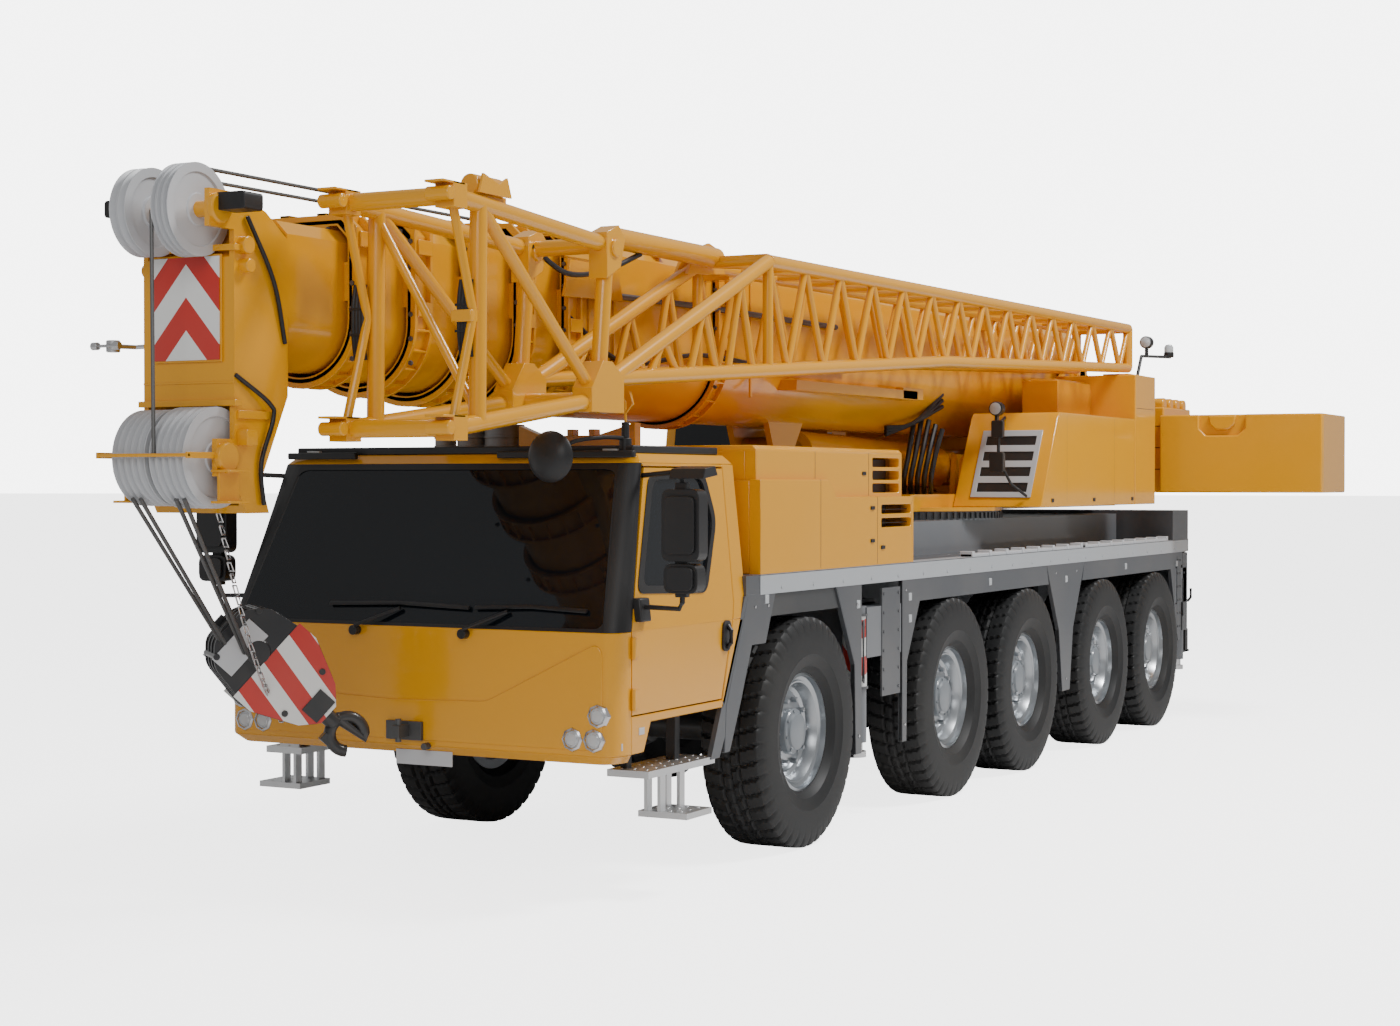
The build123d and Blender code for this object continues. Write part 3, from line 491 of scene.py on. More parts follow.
def striping_group() -> bpy.types.NodeTree:
    """Node group that gives a mask of even stripes square to a direction.

    Returns:
        The group, built once.
    """
    found = bpy.data.node_groups.get("striping")
    if found:
        return found
    takes = {"Place": "NodeSocketVector", "Along": "NodeSocketVector", "Pitch": "NodeSocketFloat"}
    group, inside, outside = new_group("striping", takes, ("Mask",))
    nodes = Nodes(group)
    reach = nodes.add("ShaderNodeVectorMath", {0: inside.outputs["Place"], 1: inside.outputs["Along"]},
                      operation="DOT_PRODUCT")
    count = nodes.add("ShaderNodeMath", {0: reach.outputs["Value"], 1: inside.outputs["Pitch"]},
                      operation="DIVIDE")
    part = nodes.add("ShaderNodeMath", {0: count.outputs[0], 1: 1.0}, operation="FLOORED_MODULO")
    mask = nodes.add("ShaderNodeMath", {0: part.outputs[0], 1: 0.5}, operation="GREATER_THAN")
    group.links.new(mask.outputs[0], outside.inputs["Mask"])
    return group


# ---------------------------------------------------------------- finishes
class Surface(Enum):
    """How a finish answers light."""

    PAINT = "paint"
    METAL = "metal"
    RUBBER = "rubber"
    PLASTIC = "plastic"
    GLASS = "glass"


@dataclass(frozen=True)
class Finish:
    """One finish: its colour, its gloss, how fine its grain is and any stripes."""

    name: str
    slot: str
    surface: Surface
    colour: tuple[float, float, float]
    rough: float = 0.4
    grain: float = 60.0
    bump: float = 0.02
    dust: float = 0.1
    dust_colour: tuple[float, float, float] = (0.35, 0.31, 0.26)
    stripes: tuple | None = None        # direction across the stripes, pitch, second colour

    def material(self) -> bpy.types.Material:
        """The material of this finish, built once.

        Returns:
            The material.
        """
        found = bpy.data.materials.get(self.name)
        if found:
            return found
        made = bpy.data.materials.new(self.name)
        made.use_nodes = True
        nodes = Nodes(made.node_tree)
        shader = made.node_tree.nodes["Principled BSDF"]
        place = nodes.add("ShaderNodeTexCoord").outputs["Object"]
        soil = nodes.add("ShaderNodeGroup", node_tree=soiling_group())
        made.node_tree.links.new(place, soil.inputs["Place"])
        soil.inputs["Grain"].default_value = self.grain
        soil.inputs["Patches"].default_value = 1.3
        amount = nodes.add("ShaderNodeMath", {0: soil.outputs["Dust"], 1: self.dust}, operation="MULTIPLY")
        mix = nodes.add("ShaderNodeMix", {0: amount.outputs[0]}, data_type="RGBA")
        mix.inputs[6].default_value = (*self.colour, 1)
        mix.inputs[7].default_value = (*self.dust_colour, 1)
        if self.stripes:
            along, pitch, second = self.stripes
            bands = nodes.add("ShaderNodeGroup", node_tree=striping_group())
            made.node_tree.links.new(place, bands.inputs["Place"])
            bands.inputs["Along"].default_value = along
            bands.inputs["Pitch"].default_value = pitch
            paint = nodes.add("ShaderNodeMix", {0: bands.outputs["Mask"]}, data_type="RGBA")
            paint.inputs[6].default_value = (*self.colour, 1)
            paint.inputs[7].default_value = (*second, 1)
            made.node_tree.links.new(paint.outputs[2], mix.inputs[6])
        made.node_tree.links.new(mix.outputs[2], shader.inputs["Base Color"])
        rough = nodes.add("ShaderNodeMapRange", {"Value": soil.outputs["Tone"], "To Min": self.rough * 0.85,
                                                 "To Max": min(1.0, self.rough * 1.2 + self.dust * 0.2)})
        made.node_tree.links.new(rough.outputs["Result"], shader.inputs["Roughness"])
        bump = nodes.add("ShaderNodeBump", {"Height": soil.outputs["Height"], "Strength": 0.3,
                                            "Distance": self.bump * 0.01})
        made.node_tree.links.new(bump.outputs["Normal"], shader.inputs["Normal"])
        if self.surface is Surface.METAL:
            shader.inputs["Metallic"].default_value = 1.0
        if self.surface is Surface.PAINT:
            shader.inputs["Coat Weight"].default_value = 0.4
            shader.inputs["Coat Roughness"].default_value = 0.08
        if self.surface is Surface.GLASS:
            shader.inputs["Transmission Weight"].default_value = 0.35
            shader.inputs["IOR"].default_value = 1.45
        return made


RED = (0.55, 0.02, 0.012)
WHITE = (0.80, 0.80, 0.78)
YELLOW = Finish("golden_yellow_paint", "crane_yellow", Surface.PAINT, (0.76, 0.335, 0.0), 0.24, 90.0,
                dust=0.02)
GREY_BAND = Finish("light_grey_paint", "carrier_grey", Surface.PAINT, (0.42, 0.44, 0.46), 0.38)
GREY_DECK = Finish("deck_grey_paint", "carrier_grey", Surface.PAINT, (0.15, 0.16, 0.175), 0.4)
GREY_POST = Finish("mid_grey_paint", "carrier_grey", Surface.PAINT, (0.065, 0.07, 0.078), 0.42)
FRAME = Finish("dark_frame_paint", "frame_dark", Surface.PAINT, (0.028, 0.03, 0.032), 0.45)
DARK_GLASS = Finish("smoked_glass", "glass", Surface.GLASS, (0.008, 0.011, 0.015), 0.03, bump=0.0, dust=0.0)
LAMP_GLASS = Finish("lamp_lens", "glass", Surface.GLASS, (0.75, 0.78, 0.8), 0.08, bump=0.0, dust=0.0)
TRIM = Finish("black_moulded_trim", "cab_trim", Surface.PLASTIC, (0.010, 0.010, 0.011), 0.42, 400.0,
              dust=0.03)
ALLOY = Finish("tread_plate_alloy", "step_alloy", Surface.METAL, (0.72, 0.73, 0.74), 0.35)
MIRROR_BLACK = Finish("mirror_housing_black", "mirror_black", Surface.PLASTIC, (0.012, 0.012, 0.013), 0.4,
                      500.0, dust=0.03)
RUBBER = Finish("tyre_rubber", "tyre", Surface.RUBBER, (0.008, 0.0085, 0.009), 0.55, 220.0, 0.05, 0.04)
RIM_GREY = Finish("rim_silver", "tyre", Surface.METAL, (0.42, 0.44, 0.46), 0.28)
HUB_GREY = Finish("hub_grey_paint", "tyre", Surface.PAINT, (0.20, 0.22, 0.24), 0.4)
CAST = Finish("engine_cast_iron", "engine", Surface.METAL, (0.15, 0.15, 0.15), 0.6)
STEEL = Finish("ground_steel_rod", "jack_steel", Surface.METAL, (0.65, 0.65, 0.66), 0.22)
SHEAVE = Finish("pale_sheave_plastic", "sheave_white", Surface.PLASTIC, (0.55, 0.56, 0.58), 0.35)
HOOK_BLACK = Finish("hook_block_black", "hook_black", Surface.PAINT, (0.008, 0.009, 0.012), 0.3)
TAIL_LAMP = Finish("tail_lamp_red", "glass", Surface.PLASTIC, RED, 0.2)
STACK = Finish("worn_stack_steel", "jack_steel", Surface.METAL, (0.30, 0.30, 0.31), 0.5, 30.0, 0.08, 0.4)
ROPE = Finish("wire_rope", "jack_steel", Surface.METAL, (0.16, 0.16, 0.16), 0.5, 300.0, 0.1)
CHEVRON_LEFT = Finish("chevron_left", "crane_yellow", Surface.PAINT, WHITE, 0.35,
                      stripes=((0.75, 0, 0.66), 0.212, RED))
CHEVRON_RIGHT = Finish("chevron_right", "crane_yellow", Surface.PAINT, WHITE, 0.35,
                       stripes=((-0.75, 0, 0.66), 0.212, RED))
JACK_STRIPES = Finish("jack_sleeve_stripes", "carrier_grey", Surface.PAINT, WHITE, 0.35,
                      stripes=((0.5, -0.3, 0.8), 0.2, RED))
HOOK_STRIPES = Finish("hook_cheek_stripes", "hook_black", Surface.PAINT, WHITE, 0.35,
                      stripes=((0.85, 0.2, 0.5), 0.17, RED))
PACKED = (YELLOW, GREY_BAND, FRAME, DARK_GLASS, TRIM, ALLOY, MIRROR_BLACK, RUBBER, CAST, STEEL, SHEAVE,
          HOOK_BLACK)


# ---------------------------------------------------------------- sub-assemblies
@dataclass
class PackedSolids:
    """The solids as packed, each given the finish of its material slot."""

    shop: Workshop

    def build(self) -> None:
        """Put each node's finish on its own slots."""
        by_slot = {finish.slot: finish for finish in PACKED}
        slots = {row["node"]: row["material_slot"] for row in self.shop.frame["record"]["subparts"]}
        own = {"side_panels": GREY_POST, "chassis_frame": GREY_DECK}
        for name, node in self.shop.frame["nodes"].items():
            finish = own.get(name, by_slot[slots[name]])
            if name.startswith("outrigger_beam"):
                finish = GREY_DECK
            if not node.data.materials:
                node.data.materials.append(finish.material())
            for index in range(len(node.data.materials)):
                node.data.materials[index] = finish.material()


@dataclass
class RoadWheels:
    """Ten road wheels: treaded tyre and dished rim."""

    shop: Workshop
    blocks: int = 44                # tread blocks round the tyre
    block_steps: int = 8            # points round the tyre in each of them
    groove: float = 0.018
    width: float = 0.44
    rim_share: float = 0.505        # rim edge radius as a share of the tyre radius

    def tyre(self, centre: np.ndarray, radius: float) -> Part:
        """Tyre carcass with block tread.

        A side outline is carried round the axle; points of the tread face sink by the groove depth where a
        wave round the tyre and across it falls below a level, which leaves staggered blocks.

        Args:
            centre: wheel centre.
            radius: outer radius.

        Returns:
            Points and quads.
        """
        half = self.width / 2
        rim = radius * self.rim_share
        across = np.linspace(-0.84, 0.84, 25)
        tread_r = np.full(len(across), radius) - 0.012 * np.abs(across) ** 6
        wall = np.array([(rim, -0.66), (rim + 0.02, -0.72), (rim + 0.05, -0.90), (rim + 0.12, -0.985),
                         (rim + 0.125, -1.0), (rim + 0.20, -1.0), (radius - 0.10, -0.985),
                         (radius - 0.05, -0.95), (radius - 0.012, -0.87)])
        outline = np.concatenate([wall, np.stack([tread_r, across], 1), wall[::-1] * (1, -1)])
        steps = self.blocks * self.block_steps
        angle = np.arange(steps) * 2 * np.pi / steps
        phase = np.arange(steps)[:, None] % self.block_steps
        offset = outline[None, :, 1]
        stagger = (np.abs(offset) * 5 + (offset > 0) * 4) % self.block_steps
        cross_cut = ((phase + stagger) % self.block_steps) < 1.7
        centre_cut = (np.abs(np.abs(offset) - 0.30) < 0.045) | (np.abs(offset) < 0.02)
        number = np.arange(len(outline))[None, :]
        face = (number >= len(wall) - 2) & (number < len(outline) - len(wall) + 2)
        sink = np.where(face & (cross_cut | centre_cut), self.groove, 0.0)
        reach = outline[None, :, 0] - sink
        points = np.stack([np.broadcast_to(offset * half, reach.shape), reach * np.cos(angle)[:, None],
                           reach * np.sin(angle)[:, None]], -1).reshape(-1, 3) + centre
        return points, grid_faces(steps, len(outline), True, True)

    def studs(self, outline: list, centre: np.ndarray, side: int, turns: np.ndarray, ring: tuple) -> list:
        """Nuts or screws on a circle round the axle.

        Args:
            outline: outline of one as (radius, offset) rows.
            centre: wheel centre.
            side: +1 on the left, -1 on the right.
            turns: angle of each.
            ring: the circle's offset outwards and its radius.

        Returns:
            One part for each.
        """
        out, reach = ring
        places = [centre + np.array((side * out, reach * math.cos(a), reach * math.sin(a))) for a in turns]
        return [spun(np.array(outline) * (1, side), at, 0, 6) for at in places]

    def rim(self, centre: np.ndarray, radius: float, side: int) -> list:
        """Dished rim with its lips and wheel nuts.

        Args:
            centre: wheel centre.
            radius: tyre radius.
            side: +1 on the left, -1 on the right.

        Returns:
            Parts of the rim.
        """
        r = radius * self.rim_share
        profile = np.array([(CORE, 0.060), (0.165, 0.060), (0.235, 0.050), (0.262, 0.030), (0.285, 0.046),
                            (0.296, 0.085), (0.312, 0.118), (0.322, 0.120), (0.330, 0.108), (0.345, 0.112),
                            (r, 0.136), (r + 0.006, 0.150), (r - 0.01, 0.156), (r - 0.06, -0.148),
                            (r, -0.150), (r, -0.134), (0.300, -0.120), (CORE, -0.02)])
        nut = [(CORE, 0.092), (0.014, 0.092), (0.018, 0.086), (0.019, 0.045), (CORE, 0.045)]
        turns = np.arange(10) * 2 * np.pi / 10
        return [spun(profile * (1, side), centre, 0, 72)] + self.studs(
            nut, centre, side, turns, (0.0, 0.205))

    def hub(self, centre: np.ndarray, side: int) -> list:
        """Planetary hub cap with its ring of screws.

        Args:
            centre: wheel centre.
            side: +1 on the left, -1 on the right.

        Returns:
            Parts of the hub.
        """
        profile = np.array([(CORE, 0.132), (0.095, 0.132), (0.115, 0.126), (0.122, 0.112), (0.140, 0.106),
                            (0.146, 0.098), (0.148, 0.05), (CORE, 0.05)])
        screw = [(CORE, 0.014), (0.009, 0.014), (0.009, 0.0), (CORE, 0.0)]
        turns = np.arange(8) * 2 * np.pi / 8 + 0.2
        return [spun(profile * (1, side), centre, 0, 40)] + self.studs(
            screw, centre, side, turns, (0.102, 0.132))

    def build(self) -> None:
        """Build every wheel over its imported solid."""
        for name in sorted(self.shop.frame["nodes"]):
            if not name.startswith("wheel_"):
                continue
            low, high = (np.array(corner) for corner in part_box(name))
            radius = (high[2] - low[2]) / 2
            side = 1 if low[0] > 0 else -1
            out = max(abs(low[0]), abs(high[0])) - self.width / 2
            axle = np.array((side * out, (low[1] + high[1]) / 2, radius)) - self.shop.shift
            label = name.removeprefix("wheel_")
            self.shop.piece(f"tyre_{label}", [self.tyre(axle, radius)], RUBBER, name, 0, (name,))
            self.shop.piece(f"rim_{label}", self.rim(axle, radius, side), RIM_GREY, name, 0)
            self.shop.piece(f"hub_{label}", self.hub(axle, side), HUB_GREY, name, 0)


@dataclass
class DriverCab:
    """Driver's cab: upright to the waist, leaning in above it, with its screen, doors and lamps."""

    shop: Workshop
    front: float = -2.40
    rear: float = -0.82
    floor: float = 0.99
    foot: float = 0.78
    waist: float = 1.50
    shoulder: float = 2.42
    roof: float = 2.475
    lean_side: float = 0.10
    lean_front: float = 0.42
    wall: float = 0.04

    def lean(self, z: np.ndarray) -> np.ndarray:
        """Share of the lean reached at a height."""
        return np.clip((z - self.waist) / (self.shoulder - self.waist), 0, 1.1)

    def side_lift(self, points: np.ndarray) -> np.ndarray:
        """Points drawn against the upright side wall, put on the leaning one."""
        points[:, 0] += HALF - self.lean_side * self.lean(points[:, 2])
        return points

    def front_lift(self, points: np.ndarray) -> np.ndarray:
        """Points drawn against the upright front wall, put on the leaning one."""
        points[:, 1] += self.front + self.lean_front * self.lean(points[:, 2])
        return points

    def corner(self, z: float, extra: float = 0.0) -> np.ndarray:
        """Rounded plan line of the left front corner at one height, from the nose to the side.

        Args:
            z: height.
            extra: how far the line is drawn in.

        Returns:
            Points of the line.
        """
        lean = float(self.lean(np.array(min(z, self.shoulder))))
        nose = np.array((1.245 - 0.145 * lean - extra, self.front + self.lean_front * lean + extra))
        side = np.array((HALF - self.lean_side * lean - extra, self.front + 0.16 + 0.29 * lean + extra))
        control = np.array((side[0] - 0.004, nose[1] + 0.012))
        t = np.linspace(0, 1, 9)[:, None]
        line = (1 - t) ** 2 * nose + 2 * t * (1 - t) * control + t * t * side
        return np.column_stack([line, np.full(len(line), z)])

    def nose(self, z: float, extra: float = 0.0) -> np.ndarray:
        """Plan line round the whole front at one height, from left to right."""
        left = self.corner(z, extra)[::-1]
        return np.concatenate([left, left[::-1] * (-1, 1, 1)])

    def shell(self) -> None:
        """Painted shell: front panel, sills, rear walls, roof and bumper."""
        parts = [strip(self.nose(self.foot + 0.05), self.nose(self.waist), self.wall)]
        parts.append(strip(self.nose(self.foot, 0.05), self.nose(self.foot + 0.05), self.wall))
        edge = self.nose(self.shoulder)
        top = self.nose(self.roof, 0.055)
        back = [(-1.23, self.rear, self.shoulder), (1.23, self.rear, self.shoulder)]
        back_top = [(-1.175, self.rear - 0.03, self.roof), (1.175, self.rear - 0.03, self.roof)]
        ring = np.concatenate([edge, back])
        ring_top = np.concatenate([top, back_top])
        count = len(ring)
        faces = grid_faces(2, count, False, True).tolist() + [
            list(range(count)), list(range(2 * count - 1, count - 1, -1))]
        parts.append((np.concatenate([ring, ring_top]), faces))
        sides = [
            [(-1.152, 1.032), (-1.13, 0.99), (-0.877, 1.5), (-1.012, 1.5)],
            [(-1.012, 1.5), (-0.877, 1.5), (-0.82, 1.62), (-0.82, 2.42), (-0.962, 2.42), (-0.962, 2.398),
             (-0.982, 1.6)], [(-1.93, 2.402), (-0.962, 2.402), (-0.962, 2.42), (-1.94, 2.42)],
            [(-2.24, 0.83), (-2.10, 0.83), (-2.02, 0.99), (-1.13, 0.99), (-1.150, 1.036), (-2.24, 1.036)],]
        for outline in sides:
            parts += mirrored([moved(prism(outline, 0, -self.wall, 0.0), self.side_lift)])
        parts.append(prism([(-1.29, 1.62), (1.29, 1.62), (1.23, 2.42), (-1.23, 2.42)], 1, self.rear - 0.04,
                           self.rear, (rectangle((-0.52, 0.52), (1.75, 2.25))[::-1],)))
        parts.append(prism([(-1.13, 0.99), (-1.09, 0.99), (-0.82, 1.6), (-0.86, 1.62)], 0, -1.29, 1.29))
        parts.append(slab((-1.29, 1.29), (-2.34, -1.13), (0.99, 1.03)))
        self.shop.piece("cab_panels", parts, YELLOW, "cab_shell", 0.006, ("cab_shell",))
        crease = [(-1.25, 0.86), (-1.25, 1.13), (-0.14, 1.085), (0.50, 1.10), (1.20, 1.44), (1.24, 1.40),
                  (1.24, 0.86)]
        self.shop.piece("cab_front_pressing",
                        [moved(prism(rounded(crease, 0.04), 1, -0.007, 0.01), self.front_lift)], YELLOW,
                        "cab_shell", 0.005)
        plate = [slab((-1.17, 1.17), (-1.93, -0.9), (self.roof, self.roof + 0.045))]
        plate += [slab((-1.2, -0.7), (-1.99, -1.95), (2.45, 2.49)),
                  slab((0.3, 1.2), (-1.99, -1.95), (2.45, 2.49))]
        self.shop.piece("cab_roof_plate", plate, TRIM, "cab_shell", 0.008)

    def screen(self) -> None:
        """Windscreen, its black surround and corner pillars, the wipers and the rear window."""
        edge = [(-1.243, self.waist + 0.018), (1.243, self.waist + 0.018), (1.10, 2.385), (-1.10, 2.385)]
        glass = moved(prism(rounded(edge, 0.07), 1, 0.006, 0.014), self.front_lift)
        rear = prism(rectangle((-0.518, 0.518), (1.752, 2.248)), 1, self.rear - 0.03, self.rear - 0.02)
        self.shop.piece("windscreen", [glass, rear], DARK_GLASS, "cab_shell", 0, ("cab_glass",))
        frame = [(-1.245, self.waist), (1.245, self.waist), (1.10, self.shoulder), (-1.10, self.shoulder)]
        parts = [moved(prism(frame, 1, 0.0, 0.03, (rounded(edge, 0.07)[::-1],)), self.front_lift)]
        parts += mirrored([strip(self.corner(self.waist), self.corner(self.shoulder), 0.03)])
        self.shop.piece("screen_surround", parts, TRIM, "cab_shell", 0.003)
        wipers = []
        near = ((0.36, 1.47), (0.62, 1.60), (0.40, 1.12))
        far = ((-0.38, 1.47), (-0.10, 1.60), (-0.60, 0.36))
        for foot, tip, blade in (far, near):
            wipers += [tube([(foot[0], -0.03, foot[1]), (foot[0] + 0.02, -0.05, foot[1] + 0.03),
                             (tip[0], -0.02, tip[1])], 0.011),
                       tube([(blade[0], -0.012, 1.615), ((blade[0] + blade[1]) / 2, -0.012, 1.628),
                             (blade[1], -0.012, 1.612)], 0.012),
                       disc((foot[0], -0.02, foot[1]), 1, 0.028, -0.03, 0.03)]
        self.shop.piece("wipers", [moved(part, self.front_lift) for part in wipers], TRIM, "cab_shell", 0)

    def door(self, label: str, side: int) -> None:
        """One door with its window, black window border, handle and hinges.

        Args:
            label: left or right.
            side: +1 on the left, -1 on the right.
        """
        node = f"cab_door_{label}"
        window = rounded([(-2.11, 1.72), (-1.865, 2.345), (-1.23, 2.362), (-1.135, 2.09), (-1.33, 1.69)],
                         0.07)
        border = scaled(window, 1.055)
        clear = scaled(window, 0.93)
        lower = [(-2.232, 1.044), (-1.166, 1.044), (-1.022, 1.5), (-2.232, 1.5)]
        upper = [(-2.232, 1.5), (-1.022, 1.5), (-0.99, 1.6), (-0.97, 2.394), (-1.925, 2.394)]
        panels = [prism(lower, 0, -self.wall, 0.0), prism(upper, 0, -self.wall, 0.0, (window[::-1],))]
        hinges = []
        for z in (1.13, 1.41):
            hinges += [disc((0.012, -2.236, z), 2, 0.014, -0.06, 0.06, 14),
                       slab((-0.01, 0.012), (-2.23, -2.17), (z - 0.05, z + 0.05))]
        panels = [moved(part, self.side_lift) for part in panels + hinges]
        self.shop.piece(f"door_panel_{label}", on_side(panels, side), YELLOW, node, 0.005, (node,))
        frame = moved(prism(border, 0, -0.01, 0.006, (clear[::-1],)), self.side_lift)
        handle = prism(rounded([(-1.165, 1.32), (-1.065, 1.32), (-1.055, 1.50), (-1.155, 1.50)], 0.045), 0,
                       -0.01, 0.012)
        bar = tube([(0.01, -1.11, 1.34), (0.035, -1.11, 1.37), (0.035, -1.105, 1.44), (0.01, -1.10, 1.47)],
                   0.014)
        black = [frame, moved(handle, self.side_lift), moved(bar, self.side_lift)]
        self.shop.piece(f"door_window_border_{label}", on_side(black, side), TRIM, node, 0.002)
        pane = moved(prism(window, 0, -0.018, -0.010), self.side_lift)
        self.shop.piece(f"door_pane_{label}", on_side([pane], side), DARK_GLASS, f"door_glass_{label}", 0,
                        (f"door_glass_{label}",))
        foot = moved(slab((-0.02, 0.045), (-2.19, -2.08), (1.55, 1.68)), self.side_lift)
        self.shop.piece(f"mirror_foot_{label}", on_side([foot], side), MIRROR_BLACK, f"mirror_{label}", 0.01)

    def mirrors(self, label: str, side: int) -> None:
        """Tall mirror, wide-angle mirror and their arms.

        Args:
            label: left or right.
            side: +1 on the left, -1 on the right.
        """
        node = f"mirror_{label}"
        boxes = []
        tall = ((1.495, 1.725), (1.885, 2.275), (-2.205, -2.10))
        wide = ((1.505, 1.712), (1.712, 1.872), (-2.20, -2.10))
        for x, z, y in (tall, wide):
            outline = rounded(rectangle(x, z), 0.05)
            boxes += [prism(outline, 1, *y), prism(scaled(outline, 0.8), 1, y[0] - 0.02, y[0])]
        boxes.append(prism([(-2.23, 2.33), (-2.205, 2.385), (-2.09, 2.40), (-2.06, 2.35)], 0, 1.555, 1.765))
        arms = [tube([(1.34, -2.14, 1.632), (1.575, -2.15, 1.626), (1.595, -2.15, 1.66),
                      (1.595, -2.15, 2.36), (1.57, -2.14, 2.37), (1.24, -1.95, 2.35)], 0.015)]
        arms.append(slab((1.56, 1.63), (-2.17, -2.13), (1.69, 2.31)))
        self.shop.piece(f"mirror_housing_{label}", on_side(boxes + arms, side), MIRROR_BLACK, node, 0.012,
                        (node,))
        panes = (((1.515, 1.705), (1.905, 2.255)), ((1.525, 1.695), (1.73, 1.855)))
        glasses = [prism(rounded(rectangle(x, z), 0.04), 1, -2.10, -2.095) for x, z in panes]
        self.shop.piece(f"mirror_glass_{label}", on_side(glasses, side), STEEL, node, 0)

    def headlamps(self) -> None:
        """Three lamps in each front corner: bezel, lens and reflector ring."""
        bezels, lenses, rings = [], [], []
        for x, z in ((1.055, 0.917), (1.189, 0.917), (1.215, 1.05)):
            for side in (1, -1):
                at = (side * x, self.front, z)
                bezels.append(spun([(0.052, -0.018), (0.064, -0.012), (0.070, 0.0), (0.070, 0.03),
                                    (0.052, 0.03)], at, 1, 8))
                lenses.append(spun([(CORE, -0.020), (0.025, -0.018), (0.043, -0.012), (0.052, -0.002),
                                    (0.052, 0.02), (CORE, 0.02)], at, 1, 24))
                rings.append(spun([(0.028, -0.014), (0.033, -0.016), (0.038, -0.012), (0.033, -0.006)], at,
                                  1, 24))
        self.shop.piece("headlamp_bezels", bezels, STEEL, "cab_shell", 0)
        self.shop.piece("headlamp_lenses", lenses, LAMP_GLASS, "cab_shell", 0)
        self.shop.piece("headlamp_reflectors", rings, STEEL, "cab_shell", 0)

    def fittings(self) -> None:
        """Round front mirror, aerials, tow coupling, bare plates and marker lamps."""
        centre = (1.0, -2.55, 2.45)
        back = [(CORE, -0.05), (0.05, -0.046), (0.10, -0.03), (0.135, 0.0), (0.14, 0.012), (0.13, 0.016),
                (CORE, 0.01)]
        dish = [spun(back, centre, 1, 36),
                hose([(1.0, -2.52, 2.45), (1.02, -2.35, 2.53), (1.06, -2.1, 2.56), (1.10, -1.93, 2.56)],
                     0.012), disc((1.10, -1.90, 2.53), 2, 0.035, -0.05, 0.03),
                disc((1.10, -1.90, 2.60), 2, 0.022, -0.04, 0.05)]
        self.shop.piece("dish_mirror", dish, MIRROR_BLACK, "cab_shell", 0)
        face = [(CORE, 0.006), (0.10, 0.009), (0.132, 0.0158), (0.132, 0.0185), (CORE, 0.0125)]
        glass = spun(face, centre, 1, 36)
        self.shop.piece("dish_mirror_glass", [glass], STEEL, "cab_shell", 0)
        aerial = [tube([(1.10, -1.90, 2.6), (1.10, -1.90, 2.76), (1.07, -1.9, 2.80)], 0.008),
                  tube([(1.10, -1.90, 2.70), (1.15, -1.9, 2.75), (1.13, -1.9, 2.82)], 0.008)]
        self.shop.piece("front_eye_posts", aerial, YELLOW, "cab_shell", 0)
        tow = [slab((-0.16, 0.08), (-2.43, -2.40), (0.86, 0.965)),
               slab((-0.05, 0.0), (-2.53, -2.42), (0.88, 0.95)),
               disc((-0.025, -2.50, 0.915), 2, 0.018, -0.06, 0.07, 14),
               disc((0.11, -2.40, 0.83), 1, 0.02, -0.05, 0.0, 14)]
        self.shop.piece("tow_coupling", tow, CAST, "cab_shell", 0.004)
        plates = [slab((-0.13, 0.25), (-2.375, -2.365), (0.715, 0.80)),
                  slab((1.25, 1.32), (-2.33, -2.31), (0.86, 0.90))]
        self.shop.piece("bare_number_plate", plates, SHEAVE, "cab_shell", 0.002)
        markers = mirrored([slab((0.985, 1.075), (-1.96, -1.91), (2.475, 2.50)),
                            slab((1.315, 1.334), (-2.16, -2.10), (0.93, 0.97))])
        self.shop.piece("cab_markers", markers, LAMP_GLASS, "cab_shell", 0.002)

    def build(self) -> None:
        """Build the cab."""
        self.shell()
        self.screen()
        for label, side in (("left", 1), ("right", -1)):
            self.door(label, side)
            self.mirrors(label, side)
        self.headlamps()
        self.fittings()


